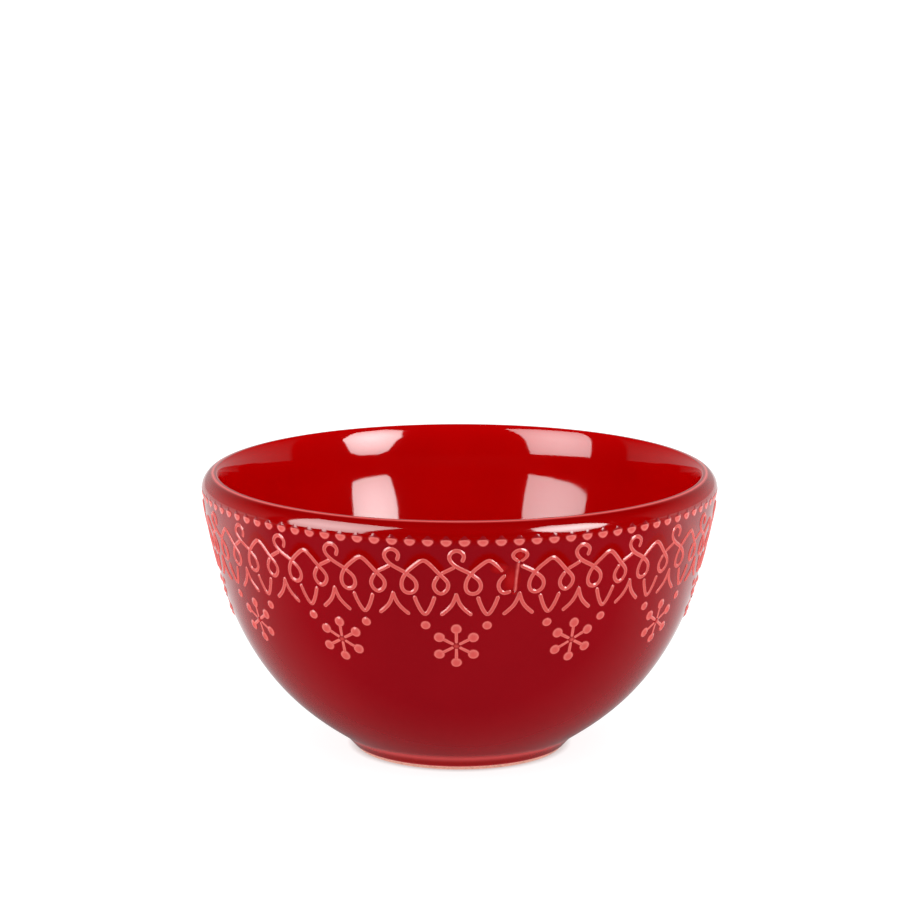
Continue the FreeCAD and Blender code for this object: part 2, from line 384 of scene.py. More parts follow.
@dataclass
class Shell:
    """Points and faces that grow by closed grids, with one value per point for each finish.

    Attributes:
        points: blocks of (n, 3) points.
        quads: blocks of (m, 4) point numbers.
        fans: blocks of (k, 3) point numbers.
        values: blocks of (n,) values by name.
        count: how many points it has.
    """

    points: list = field(default_factory=list)
    quads: list = field(default_factory=list)
    fans: list = field(default_factory=list)
    values: dict = field(default_factory=dict)
    count: int = 0

    def add_points(self, points: Array, values: dict) -> int:
        """Adds points with their values.

        Args:
            points: an array of points, whose last axis is x, y and z.
            values: name to a value or an array that spreads over the points.

        Returns:
            The number of the first point.
        """
        first = self.count
        self.points.append(points.reshape(-1, 3))
        for name, value in values.items():
            spread = np.broadcast_to(value, points.shape[:-1])
            self.values.setdefault(name, []).append(spread.reshape(-1))
        self.count += len(self.points[-1])
        return first

    def add_ring_grid(self, grid: Array, values: dict, wrap_rows: bool = False) -> int:
        """Adds a grid whose columns close into rings: quad (i, j), (i, j+1), (i+1, j+1), (i+1, j).

        Args:
            grid: (rows, columns, 3) points.
            values: name to an array that spreads over (rows, columns).
            wrap_rows: whether the last row also joins the first.

        Returns:
            The number of the grid's first point.
        """
        rows, columns = grid.shape[:2]
        first = self.add_points(grid, values)
        row = np.arange(rows if wrap_rows else rows - 1)[:, None]
        column = np.arange(columns)[None, :]
        below = (row + 1) % rows
        beside = (column + 1) % columns
        quad = [row * columns + column, row * columns + beside,
                below * columns + beside, below * columns + column]
        self.quads.append(np.stack(np.broadcast_arrays(*quad), -1).reshape(-1, 4) + first)
        return first

    def add_closed_rings(self, grid: Array, values: dict, tips: tuple, tip_values: tuple) -> None:
        """Adds a grid of rings whose first and last ring each close to a tip.

        Args:
            grid: (rows, columns, 3) points.
            values: name to an array that spreads over (rows, columns).
            tips: the points that the first and the last ring close to.
            tip_values: name to value, for each of the two tips.
        """
        first = self.add_ring_grid(grid, values)
        rows, columns = grid.shape[:2]
        ring = first + np.arange(columns)
        self.add_fan(ring, tips[0], tip_values[0], flip=True)
        self.add_fan(ring + (rows - 1) * columns, tips[1], tip_values[1])

    def add_fan(self, ring: Array, tip: Array, values: dict, flip: bool = False) -> None:
        """Closes a ring to a tip with triangles (j, j+1, tip).

        Args:
            ring: the numbers of its points.
            tip: the point that it closes to.
            values: name to the tip's value.
            flip: whether the triangles face the other way.
        """
        centre = self.add_points(np.asarray(tip, float).reshape(1, 3), values)
        faces = np.stack([ring, np.roll(ring, -1), np.full(len(ring), centre)], axis=1)
        self.fans.append(faces[:, ::-1] if flip else faces)

    def piece(self, name: str, crease: float = 50.0) -> bpy.types.Object:
        """Makes the mesh object, smooth except where faces meet at more than the crease.

        Args:
            name: the object's and the mesh's name.
            crease: degrees between faces from which an edge is sharp.

        Returns:
            The object, linked to the scene.
        """
        faces = [block.tolist() for block in self.quads + self.fans]
        mesh = bpy.data.meshes.new(name)
        points = np.vstack(self.points) * METRES
        mesh.from_pydata(points.tolist(), [], [face for block in faces for face in block])
        for value_name, blocks in self.values.items():
            layer = mesh.attributes.new(value_name, "FLOAT", "POINT")
            layer.data.foreach_set("value", np.concatenate(blocks).astype(np.float32))
        mesh.polygons.foreach_set("use_smooth", np.ones(len(mesh.polygons), bool))
        mesh.set_sharp_from_angle(angle=math.radians(crease))
        mesh.validate()
        item = bpy.data.objects.new(name, mesh)
        bpy.context.scene.collection.objects.link(item)
        return item


def spin(profile: Array, columns: int) -> Array:
    """Turns a section about the axis: point (i, j) is profile point i at angle 2 pi j / columns.

    Args:
        profile: (rows, 2) radius and height.
        columns: points around.

    Returns:
        (rows, columns, 3) points.
    """
    turn = np.linspace(0, 2 * np.pi, columns, endpoint=False)[None, :]
    radius = profile[:, :1]
    height = np.broadcast_to(profile[:, 1:], (len(profile), columns))
    return np.stack([radius * np.sin(turn), -radius * np.cos(turn), height], axis=-1)


# Relief on the wall

# How far the edge of a relief form, and its closed underside, lie under the glaze.
SUNK = 0.04
SEAT = 0.3
# Where the slices of a stroke's round end stand, as shares of the half foot.
END_SLICES = np.array([0.35, 0.62, 0.82, 0.94, 0.985])


@dataclass(frozen=True)
class Ridge:
    """The rounded section of a stroke, with a foot that runs out into the glaze.

    Attributes:
        width: visible width.
        proud: height of its crest above the wall.
        spread: foot to foot over the visible width.
        strips: faces across.
        step: distance between sections along it.
        thinness: how far the glaze breaks over its crest, 0 to 1.
        under_every: how many of the points across go to one of its closed underside.
    """

    width: float = 1.02
    proud: float = 0.38
    spread: float = 1.45
    strips: int = 10
    step: float = 0.42
    thinness: float = 1.0
    under_every: int = 3

    def sweep(self, shell: Shell, path: Array, angle: float, fade: tuple = (1.0, 1.0)) -> None:
        """Carries the section along a path on the wall and closes it underneath.

        With q the distance from the path over half the foot, the crest's height is
        proud (1 - q^2)^2, so that both foot and crown are level with what they meet. Past each
        end, sections go on as slices of a round end: the half width is sqrt(w^2 - e^2).

        Args:
            shell: the mesh that the stroke is added to.
            path: (n, 2) points, millimetres across at the front and height on the wall.
            angle: degrees that the stroke is turned by.
            fade: shares of the crest's height at the path's two ends.
        """
        half = self.width * self.spread / 2
        middle = resample(path, self.step)
        along = directions(middle)
        past = half * END_SLICES[:, None]
        before = middle[0] - past[::-1] * along[0]
        after = middle[-1] + past * along[-1]
        path = np.vstack([before, middle, after])
        ones = np.ones(len(END_SLICES))[:, None]
        along = np.vstack([ones * along[0], along, ones * along[-1]])
        beyond = np.concatenate([past[::-1, 0], np.zeros(len(middle)), past[:, 0]])
        width = np.sqrt(half**2 - beyond**2)
        across = np.linspace(-1, 1, self.strips + 1)[None, :] * width[:, None]
        away = np.sqrt(across**2 + beyond[:, None] ** 2) / half
        strength = np.linspace(fade[0], fade[1], len(path))[:, None]
        rise = strength * np.clip(1 - away**2, 0, 1) ** 2
        aside = np.stack([along[:, 1], -along[:, 0]], axis=1)
        flat = path[:, None, :] + across[..., None] * aside[:, None, :]
        under = flat[:, -2:0:-self.under_every]
        flat = np.concatenate([flat, under], axis=1)
        deep = np.full(under.shape[:2], -SEAT)
        proud = np.concatenate([self.proud * rise - SUNK, deep], axis=1)
        crest = np.concatenate([rise * self.thinness, np.zeros(under.shape[:2])], axis=1)
        turn = angle + np.degrees(flat[..., 0] / wall_radius(flat[..., 1]))
        grid = on_wall(turn, flat[..., 1], proud)
        shell.add_closed_rings(grid, {"relief": crest}, (grid[0].mean(0), grid[-1].mean(0)),
                               ({"relief": 0.0}, {"relief": 0.0}))


@dataclass(frozen=True)
class Dome:
    """A round boss on the wall.

    Attributes:
        width: visible width across.
        tall: visible width up the wall.
        proud: height of its crown above the wall.
        fullness: power of the falloff; lower is fuller.
        spread: foot to foot over the visible width.
        rings: circles of faces between crown and foot.
        spokes: faces round it.
        thinness: how far the glaze breaks over its crown, 0 to 1.
        first_ring: place p of the innermost circle; a circle at p is sin(90 p) of the way out.
        blank_fade: height over which the broken glaze turns as thick as the lip's.
    """

    width: float
    tall: float
    proud: float
    fullness: float = 1.5
    spread: float = 1.15
    rings: int = 7
    spokes: int = 20
    thinness: float = 1.0
    first_ring: float = 0.12
    blank_fade: float = 0.9

    def raise_on(self, shell: Shell, angle: float, height: float,
                 blank: float = math.inf) -> None:
        """Adds one dome: at q of the way from crown to foot it stands proud (1 - q^2)^fullness.

        Args:
            shell: the mesh that the dome is added to.
            angle: degrees from the front.
            height: its centre's height.
            blank: height above which its glaze is as thick as the lip's.
        """
        reach = np.sin(np.linspace(self.first_ring, 1, self.rings) * np.pi / 2)[:, None]
        turn = np.linspace(0, 2 * np.pi, self.spokes, endpoint=False)[None, :]
        across = self.width * self.spread / 2 * reach * np.sin(turn)
        up = self.tall * self.spread / 2 * reach * np.cos(turn)
        level = height + up * wall_slope(height)
        crest = np.broadcast_to(np.clip(1 - reach**2, 0, 1) ** self.fullness, level.shape)
        spun = angle + np.degrees(across / wall_radius(level))
        kept = 1 - smooth_step(level - blank, 0.0, self.blank_fade)
        thin = self.thinness * crest * kept
        grid = on_wall(spun, level, self.proud * crest - SUNK)
        crown = on_wall(angle, height, self.proud - SUNK)
        seat = on_wall(angle, height, -SEAT)
        shell.add_closed_rings(grid, {"relief": thin}, (crown, seat),
                               ({"relief": thin[0, 0]}, {"relief": 0.0}))


@dataclass(frozen=True)
class Band:
    """Where the relief's repeats stand, and the paths of its strokes in shares of a repeat.

    Attributes:
        first_peak: angle of the first peak, curl and snowflake.
        arch_share: rise of an arch, as a share of the lace's.
        curl_share: rise of a curl, as a share of the lace's.
        seam_repeat: number of the repeat whose curl the mould seam filled.
        arch_top: numbers of the arch's points between which its top lies.
    """

    repeats: int = 26
    first_peak: float = -0.85
    lace_rise: float = 12.5
    lace_gap: float = 2.6
    arch_share: float = 0.764
    curl_share: float = 0.52
    chevron_rise: float = 4.8
    chevron_gap: float = 1.3
    pearl_gap: float = 3.3
    flake_gap: float = 9.4
    seam_repeat: int = 1
    arch_top: tuple = (6, 13)
    arch: tuple = (
        (-0.246, 0.562), (-0.130, 0.346), (-0.120, 0.180), (-0.165, 0.045), (-0.243, 0.0),
        (-0.320, 0.065), (-0.352, 0.230), (-0.282, 0.586), (-0.100, 0.906), (0.0, 1.0),
        (0.095, 0.895), (0.257, 0.576), (0.374, 0.283), (0.328, 0.073), (0.250, 0.005),
        (0.152, 0.209), (0.210, 0.492),
    )
    curl: tuple = (
        (0.098, 0.569), (0.116, 0.785), (0.0, 1.0), (-0.104, 0.754), (-0.020, 0.354),
        (0.138, 0.100), (0.206, 0.0),
    )
    leaf: tuple = ((-0.200, 0.020), (-0.118, 0.137), (-0.045, 0.245))
    vee: tuple = ((-0.155, 1.0), (-0.072, 0.280), (0.0, 0.0), (0.072, 0.280), (0.155, 1.0))
    peak: tuple = ((-0.225, 0.020), (-0.075, 0.562), (0.0, 1.210))

    @property
    def turn(self) -> float:
        """Degrees of one repeat."""
        return 360 / self.repeats

    @property
    def lace_foot(self) -> float:
        """Height of the arches' feet."""
        return SECTION.lip_foot - self.lace_gap - self.lace_rise

    @property
    def arch_rise(self) -> float:
        """Rise of an arch."""
        return self.arch_share * self.lace_rise

    @property
    def curl_rise(self) -> float:
        """Rise of a curl."""
        return self.curl_share * self.lace_rise

    @property
    def curl_foot(self) -> float:
        """Height of a curl's foot."""
        return self.lace_foot + self.lace_rise - self.curl_rise

    @property
    def chevron_foot(self) -> float:
        """Height of the chevrons' feet."""
        return self.lace_foot - self.chevron_gap - self.chevron_rise

    @property
    def first_vee(self) -> float:
        """Angle of the first vee, arch and pearl."""
        return self.first_peak + self.turn / 2

    @property
    def seam_angle(self) -> float:
        """Angle of the mould seam."""
        return self.first_peak + self.turn * self.seam_repeat

    def path(self, shares: tuple, foot: float, rise: float) -> Array:
        """A stroke's smooth path: its shares times a repeat's length and the rise.

        Args:
            shares: its points, as shares of a repeat across and of the rise.
            foot: height that the shares start from.
            rise: height of a whole share.

        Returns:
            (n, 2) points, millimetres across at the front and height on the wall.
        """
        across = math.radians(self.turn) * float(wall_radius(np.array(foot + rise / 2)))
        points = np.array(shares) * [across, rise] + [0, foot]
        return spline(points, count=300)

    def angles(self, first: float, every: int = 1, left_out: tuple = ()) -> list:
        """Angles of the repeats.

        Args:
            first: the first one's angle.
            every: how many repeats each is from the next.
            left_out: numbers of the repeats that have none.

        Returns:
            The angles, in degrees.
        """
        places = range(0, self.repeats, every)
        return [first + self.turn * place for place in places if place not in left_out]


BAND = Band()


# Finishes


def linear(colour: str) -> tuple:
    """An sRGB hex colour as linear red, green, blue and alpha."""
    shares = [int(colour[place:place + 2], 16) / 255 for place in (0, 2, 4)]
    return tuple(s / 12.92 if s <= 0.04045 else ((s + 0.055) / 1.055) ** 2.4 for s in shares) + (1,)


def empty_tree(owner: bpy.types.Material | bpy.types.World) -> Tree:
    """Turns nodes on and takes away the ones that are there.

    Args:
        owner: the material or world whose nodes they are.

    Returns:
        Its empty node tree.
    """
    owner.use_nodes = True
    owner.node_tree.nodes.clear()
    return owner.node_tree


def add(tree: Tree, kind: str, inputs: dict | None = None, stops: tuple = (),
        **settings) -> bpy.types.Node:
    """Adds a node with its settings, and sets or links its inputs.

    Args:
        tree: the node tree.
        kind: the node's type.
        inputs: socket name or number to a value or to the output that feeds it.
        stops: (place, hex colour) pairs, where the node has a colour ramp.
        settings: the node's own properties.

    Returns:
        The node.
    """
    node = tree.nodes.new(kind)
    for name, value in settings.items():
        setattr(node, name, value)
    for place, (share, colour) in enumerate(stops):
        ramp = node.color_ramp.elements
        element = ramp[place] if place < len(ramp) else ramp.new(share)
        element.position = share
        element.color = linear(colour)
    for key, value in (inputs or {}).items():
        if isinstance(value, bpy.types.NodeSocket):
            tree.links.new(value, node.inputs[key])
        else:
            node.inputs[key].default_value = value
    return node


@dataclass(frozen=True)
class Ripple:
    """The fine unevenness of a surface.

    Attributes:
        size: distance between its swells.
        detail: how many finer layers it has.
        strength: share of its height that shows.
        depth: height of a swell.
    """

    size: float
    detail: float
    strength: float
    depth: float


@dataclass(frozen=True)
class Finish(ABC):
    """A material made of nodes, named for what it is and how its surface was made.

    Attributes:
        ior: index of refraction.
        ripple: its fine unevenness.
    """

    name: str
    roughness: float
    ior: float
    ripple: Ripple

    @abstractmethod
    def colour(self, tree: Tree, place: Socket) -> Socket:
        """Adds the colour's nodes.

        Args:
            tree: the node tree.
            place: the output that carries the place on the object.

        Returns:
            The output that carries the colour.
        """

    def bump(self, tree: Tree, place: Socket) -> Socket:
        """Adds the nodes of the fine unevenness.

        Args:
            tree: the node tree.
            place: the output that carries the place on the object.

        Returns:
            The output that carries the normal.
        """
        wave = add(tree, "ShaderNodeTexNoise", {
            "Vector": place, "Scale": 1 / self.ripple.size, "Detail": self.ripple.detail})
        bump = add(tree, "ShaderNodeBump", {
            "Height": wave.outputs["Fac"], "Strength": self.ripple.strength,
            "Distance": self.ripple.depth})
        return bump.outputs["Normal"]

    def material(self) -> bpy.types.Material:
        """Builds the material, or returns it if it is there already."""
        found = bpy.data.materials.get(self.name)
        if found:
            return found
        made = bpy.data.materials.new(self.name)
        tree = empty_tree(made)
        place = add(tree, "ShaderNodeTexCoord").outputs["Object"]
        surface = add(tree, "ShaderNodeBsdfPrincipled", {
            "Base Color": self.colour(tree, place),
            "Roughness": self.roughness,
            "IOR": self.ior,
            "Normal": self.bump(tree, place),
        })
        add(tree, "ShaderNodeOutputMaterial", {"Surface": surface.outputs["BSDF"]})
        return made


@dataclass(frozen=True)
class DippedGlaze(Finish):
    """Gloss glaze over pale clay, dipped and fired: it is faintly milky on the wall, pools clear
    in hollows and over ledges, and breaks to coral where it runs thin. In the hollow under the
    roll that deeper red is also painted shade. The coral on the lip's crest is also a painted
    highlight, and in the cove over the foot also a painted reflection. The lighter red of the
    lip's roll is painted light. What it gives the eye is a wet, even mirror over a clear colour
    with slow drifts of tone.

    Attributes:
        body: its colour at the usual thickness.
        shade: the same a little thicker, for the slow drift.
        pooled_and_shade: where it lies thick and clear; in the hollow under the roll the same
            deeper red is also painted shade.
        lip: a lighter red on the lip's roll, painted light for the light that falls on its upward
            face.
        thin: where it breaks over an edge; on the lip's crest it is also a painted highlight, and
            in the cove over the foot also a painted reflection of the floor.
        drift: distance between its slow drifts of tone.
    """

    body: str
    shade: str
    pooled_and_shade: str
    lip: str
    thin: str
    drift: float = 0.030

    def colour(self, tree: Tree, place: Socket) -> Socket:
        """A drift of tone, then the lip's painted light, pools with their painted shade under the
        roll, and thin places with their painted highlight and reflection, by the piece's own
        values.

        Args:
            tree: the node tree.
            place: the output that carries the place on the object.

        Returns:
            The output that carries the colour.
        """
        drift = add(tree, "ShaderNodeTexNoise", {
            "Vector": place, "Scale": 1 / self.drift, "Detail": 2.0})
        tone = add(tree, "ShaderNodeValToRGB", {"Fac": drift.outputs["Fac"]},
                   stops=((0.30, self.shade), (0.70, self.body)))
        colour = tone.outputs["Color"]
        # The lip's colour is painted light; pools also carry painted shade under the roll, and thin
        # places a painted highlight and reflection.
        for name in ("lip", "pooled_and_shade", "thin"):
            share = add(tree, "ShaderNodeAttribute", attribute_name=name)
            mixed = add(tree, "ShaderNodeMix", {
                0: share.outputs["Fac"], 6: colour, 7: linear(getattr(self, name))},
                data_type="RGBA")
            colour = mixed.outputs[2]
        return colour


@dataclass(frozen=True)
class BrokenGlaze(Finish):
    """The same dipped glaze where it breaks over the relief: red at the foot of each stroke, a
    pale coral flank where it ran off, and a warmer crown.

    Attributes:
        stops: (share of the crest, hex colour) from foot to crown.
        grain: distance between the places where the glaze lies thinner.
        unevenness: how much of the crest's height that grain makes up.
    """

    stops: tuple
    grain: float = 0.002
    unevenness: float = 0.16

    def colour(self, tree: Tree, place: Socket) -> Socket:
        """Colour by the height of the relief, with a grain in how thin the glaze is.

        Args:
            tree: the node tree.
            place: the output that carries the place on the object.

        Returns:
            The output that carries the colour.
        """
        crest = add(tree, "ShaderNodeAttribute", attribute_name="relief")
        grain = add(tree, "ShaderNodeTexNoise", {
            "Vector": place, "Scale": 1 / self.grain, "Detail": 2.0})
        uneven = add(tree, "ShaderNodeMath", {
            0: grain.outputs["Fac"], 1: self.unevenness, 2: -self.unevenness / 2},
            operation="MULTIPLY_ADD")
        height = add(tree, "ShaderNodeMath", {0: crest.outputs["Fac"], 1: uneven.outputs[0]},
                     operation="ADD", use_clamp=True)
        ramp = add(tree, "ShaderNodeValToRGB", {"Fac": height.outputs[0]}, stops=self.stops)
        return ramp.outputs["Color"]


@dataclass(frozen=True)
class FiredClay(Finish):
    """Earthenware, moulded, sponged and fired without glaze: dry, matt and pale salmon, with a
    fine grain and a few darker specks.

    Attributes:
        body: its colour.
        fleck: the specks' colour.
        grain: distance between its grains.
        fleck_gap: distance between the specks.
        fleck_edge: where a speck starts and ends to fade, as shares of that distance.
        fleck_share: how much of its colour a speck has in its middle.
    """

    body: str
    fleck: str
    grain: float = 0.0006
    fleck_gap: float = 0.003
    fleck_edge: tuple = (0.10, 0.16)
    fleck_share: float = 0.6

    def colour(self, tree: Tree, place: Socket) -> Socket:
        """Grain in two tones, with the specks over it.

        Args:
            tree: the node tree.
            place: the output that carries the place on the object.

        Returns:
            The output that carries the colour.
        """
        grain = add(tree, "ShaderNodeTexNoise", {
            "Vector": place, "Scale": 1 / self.grain, "Detail": 3.0})
        tone = add(tree, "ShaderNodeValToRGB", {"Fac": grain.outputs["Fac"]},
                   stops=((0.25, self.fleck), (0.55, self.body)))
        cells = add(tree, "ShaderNodeTexVoronoi", {"Vector": place, "Scale": 1 / self.fleck_gap})
        speck = add(tree, "ShaderNodeMapRange", {
            "Value": cells.outputs["Distance"], "From Min": self.fleck_edge[0],
            "From Max": self.fleck_edge[1], "To Min": self.fleck_share, "To Max": 0.0})
        mixed = add(tree, "ShaderNodeMix", {
            0: speck.outputs["Result"], 6: tone.outputs["Color"], 7: linear(self.fleck)},
            data_type="RGBA")
        return mixed.outputs[2]


# Lead-free gloss glazes and fired clay have an index near 1.5.
INDEX = 1.5
# The glaze's slow swells, which lie closer together on the small forms, and the sponged grain.
WALL_RIPPLE = Ripple(size=0.014, detail=1.0, strength=0.25, depth=0.00012)
RELIEF_RIPPLE = Ripple(size=0.003, detail=1.0, strength=0.2, depth=0.00006)
CLAY_RIPPLE = Ripple(size=0.0003, detail=3.0, strength=0.5, depth=0.00005)
# The outside is a little greyer than the inside.
# Its lip colour is painted light on the roll's upward face.
OUTER_GLAZE = DippedGlaze(
    "dipped gloss glaze outside", 0.07, INDEX, WALL_RIPPLE,
    body="770810", shade="72070f", pooled_and_shade="790000", lip="870001", thin="f2605e")
INNER_GLAZE = DippedGlaze(
    "dipped gloss glaze inside", 0.05, INDEX, WALL_RIPPLE,
    body="be0001", shade="b60001", pooled_and_shade="860001", lip="be0001", thin="e8605c")
RELIEF_GLAZE = BrokenGlaze(
    "dipped gloss glaze over relief", 0.15, INDEX, RELIEF_RIPPLE,
    stops=((0.0, "770810"), (0.10, "7c0b12"), (0.20, "a0302f"), (0.33, "c2605b"),
           (0.50, "bc5752"), (0.75, "b44945"), (1.0, "b04441")))
SEAM_GLAZE = BrokenGlaze(
    "dipped gloss glaze over mould seam", 0.09, INDEX, RELIEF_RIPPLE,
    stops=((0.0, "770810"), (0.30, "7a060a"), (0.70, "86090c"), (1.0, "8e1013")))
BARE_CLAY = FiredClay(
    "moulded earthenware bare", 0.8, INDEX, CLAY_RIPPLE, body="c08c7c", fleck="a27262")


# Pieces


@dataclass
class Piece(ABC):
    """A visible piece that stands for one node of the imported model."""

    node: str
    slot: Slot
    finish: Finish

    @property
    def name(self) -> str:
        """The name of its object."""
        return self.node + "_look"

    @abstractmethod
    def shape(self) -> Shell:
        """The piece's mesh."""

    def build(self) -> bpy.types.Object:
        """Makes the piece, dresses it and ties it to its node and body."""
        item = self.shape().piece(self.name)
        item.data.materials.append(self.finish.material())
        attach(item, BODY)
        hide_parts(self.node)
        LOG.info("%s: %d points", item.name, len(item.data.vertices))
        return item


@dataclass
class OutsideGlaze(Piece):
    """The glaze of the outside, from the top of the lip to just above the bare foot.

    Attributes:
        columns: points around, a whole number for each repeat of the band.
        crescent: how far the dark pool over an arch reaches above its top.
        crescent_half: half the pool's width, as a share of a repeat.
        crescent_drop: how much lower the pool's outer edge lies at its ends.
        crescent_inner: where the pool starts, from the stroke's line up.
        crescent_outer: where it ends, from its outer edge up.
        crescent_tips: where it thins out, as shares of its half width.
        hollow_shade_rise: where the glaze in the hollow under the roll starts, from the roll's foot
            up; its deeper red there is also painted shade.
        hollow_shade_fall: where that glaze ends.
        hollow_shade_depth: how thick it is there, 0 to 1, and so how much painted shade it carries.
        ring_rise: where the glaze on the foot's side starts, from the bare edge up.
        ring_fall: where that glaze ends, from the foot's top up.
        roll_swell: how far the lip's roll stands out over the hollow where the beads sit.
        swell_rise: where it starts to, from the roll's foot up.
        swell_fall: where it goes back.
        lip_light_rise: where the lip's painted light starts, from the roll's foot up.
        edge_thin: how thin the glaze is at its lowest edge, 0 to 1.
        edge_fade: height over which that ends.
        cove_thin_and_reflection: how thin it is in the cove over the foot, 0 to 1; its pale band
            is also a painted reflection of the floor.
        cove_spread: height over which that ends.
        crest_highlight_place: how far outside the lip's top the glaze breaks over its crest, a
            pale line that is also a painted highlight.
        crest_highlight_spread: width over which that ends.
        crest_highlight_from: height above the roll's foot from which there is a crest.
        band_low: height under which the wall has no relief.
        steps: distance between rings on the roll, the band, the wall below it and the back.
    """

    columns: int = BAND.repeats * 26
    crescent: float = 2.5
    crescent_half: float = 0.35
    crescent_drop: float = 5.4
    crescent_inner: tuple = (-0.9, -0.3)
    crescent_outer: tuple = (-0.45, 0.1)
    crescent_tips: tuple = (0.80, 1.0)
    hollow_shade_rise: tuple = (-1.6, -0.2)
    hollow_shade_fall: tuple = (1.2, 2.6)
    hollow_shade_depth: float = 0.6
    ring_rise: tuple = (0.3, 0.8)
    ring_fall: tuple = (-1.5, -0.6)
    roll_swell: float = 0.3
    swell_rise: tuple = (0.1, 0.9)
    swell_fall: tuple = (1.6, 4.4)
    lip_light_rise: tuple = (-0.8, 0.6)
    edge_thin: float = 0.5
    edge_fade: float = 0.35
    cove_thin_and_reflection: float = 0.32
    cove_spread: float = 1.0
    crest_highlight_place: float = 0.9
    crest_highlight_spread: float = 0.36
    crest_highlight_from: float = 3.0
    band_low: float = 44.0
    steps: tuple = (0.30, 0.66, 1.6, 12.0)

    def pools(self, grid: Array) -> Array:
        """How thick and clear the glaze lies, 0 to 1, with painted shade in the hollow under the
        roll.

        Over each arch, a crescent lies on the ledge that the stroke makes: with u the distance
        from the arch's middle, its outer edge is at top + crescent - drop * (u / half)^2.
        Glaze also fills the hollow under the roll, where its deeper red is also painted shade under
        the roll's overhang, and lies thick on the foot's side.

        Args:
            grid: (rows, columns, 3) points of the skin.

        Returns:
            (rows, columns) shares.
        """
        angle = np.degrees(np.arctan2(grid[..., 0], -grid[..., 1]))
        height = grid[..., 2]
        share = ((angle - BAND.first_vee) / BAND.turn + 0.5) % 1.0 - 0.5
        top = np.array(BAND.arch)[slice(*BAND.arch_top)]
        line = BAND.lace_foot + BAND.arch_rise * np.interp(share, top[:, 0], top[:, 1])
        away = np.abs(share) / self.crescent_half
        edge = BAND.lace_foot + BAND.arch_rise + self.crescent - self.crescent_drop * away**2
        pool = smooth_step(height - line, *self.crescent_inner)
        pool = pool * (1 - smooth_step(height - edge, *self.crescent_outer))
        pool = pool * (1 - smooth_step(away, *self.crescent_tips))
        # Painted shade: the hollow under the roll's overhang takes the deeper red too.
        hollow = plateau(height - SECTION.lip_foot, self.hollow_shade_rise, self.hollow_shade_fall)
        ring = smooth_step(height - SECTION.bare_foot, *self.ring_rise)
        ring = ring * (1 - smooth_step(height - SECTION.foot_height, *self.ring_fall))
        return np.maximum.reduce([pool, self.hollow_shade_depth * hollow, ring])

    def thinning_and_sheen(self, grid: Array) -> Array:
        """How far the glaze breaks, 0 to 1: at its lowest edge, in the cove and on the lip's crest.
        In the cove the pale colour is also a painted reflection of the floor, and on the crest a
        painted highlight.

        With e the distance from the cove or the crest, each falls off as exp(-(e / spread)^2).

        Args:
            grid: (rows, columns, 3) points of the skin.

        Returns:
            (rows, columns) shares.
        """
        height = grid[..., 2]
        beside = np.hypot(grid[..., 0], grid[..., 1]) - SECTION.lip_top - self.crest_highlight_place
        edge = 1 - smooth_step(height - SECTION.bare_foot, 0.0, self.edge_fade)
        # Painted reflection: the pale band in the cove, over its thin glaze.
        cove = np.exp(-(((height - SECTION.foot_height) / self.cove_spread) ** 2))
        # Painted highlight: the pale line along the lip's crest, over its thin glaze.
        crest = np.exp(-((beside / self.crest_highlight_spread) ** 2))
        crest = crest * (height > SECTION.lip_foot + self.crest_highlight_from)
        return np.maximum.reduce([self.edge_thin * edge, self.cove_thin_and_reflection * cove, crest])

    def front(self) -> Array:
        """The skin's visible section, from the top of the lip down to the bare foot."""
        roll_step, band_step, low_step, _ = self.steps
        ground = SECTION.ground()
        roll = OUTSIDE[len(ground):][::-1]
        low = ground[ground[:, 1] < self.band_low][::-1]
        band = ground[ground[:, 1] >= self.band_low][::-1]
        side = SECTION.foot_side(SECTION.bare_foot)[::-1]
        front = np.vstack([resample(roll, roll_step), resample(band, band_step)[1:],
                           resample(low, low_step)[1:], side[1:]])
        swell = plateau(front[:, 1] - SECTION.lip_foot, self.swell_rise, self.swell_fall)
        front[:, 0] += self.roll_swell * swell
        return front

    def back(self) -> Array:
        """The skin's hidden section on the clay, from the bare foot up to the lip."""
        outward = np.stack([OUTSIDE_ALONG[:, 1], -OUTSIDE_ALONG[:, 0]], axis=1)
        back = OUTSIDE - outward * SECTION.glaze
        back[:, 1] = np.minimum(back[:, 1], SECTION.height - SECTION.glaze)
        side = SECTION.foot_side(SECTION.bare_foot, SECTION.glaze, 4)
        return np.vstack([side, resample(back, self.steps[-1])])

    def shape(self) -> Shell:
        """A closed skin: the front rings from lip to foot, and a few rings back up behind it."""
        front = self.front()
        grid = spin(np.vstack([front, self.back()]), self.columns)
        is_front = np.arange(len(grid))[:, None] < len(front)
        shell = Shell()
        shell.add_ring_grid(grid, {
            # Pooling glaze, with painted shade in the hollow under the roll.
            "pooled_and_shade": self.pools(grid) * is_front,
            # Thin glaze, with a painted highlight on the lip's crest and a painted reflection in
            # the cove.
            "thin": self.thinning_and_sheen(grid),
            # Painted light: the lighter red of the lip's roll.
            "lip": smooth_step(grid[..., 2] - SECTION.lip_foot, *self.lip_light_rise),
        }, wrap_rows=True)
        return shell


# The values of glaze that has its usual thickness everywhere.
EVEN_GLAZE = {"pooled_and_shade": 0.0, "thin": 0.0}


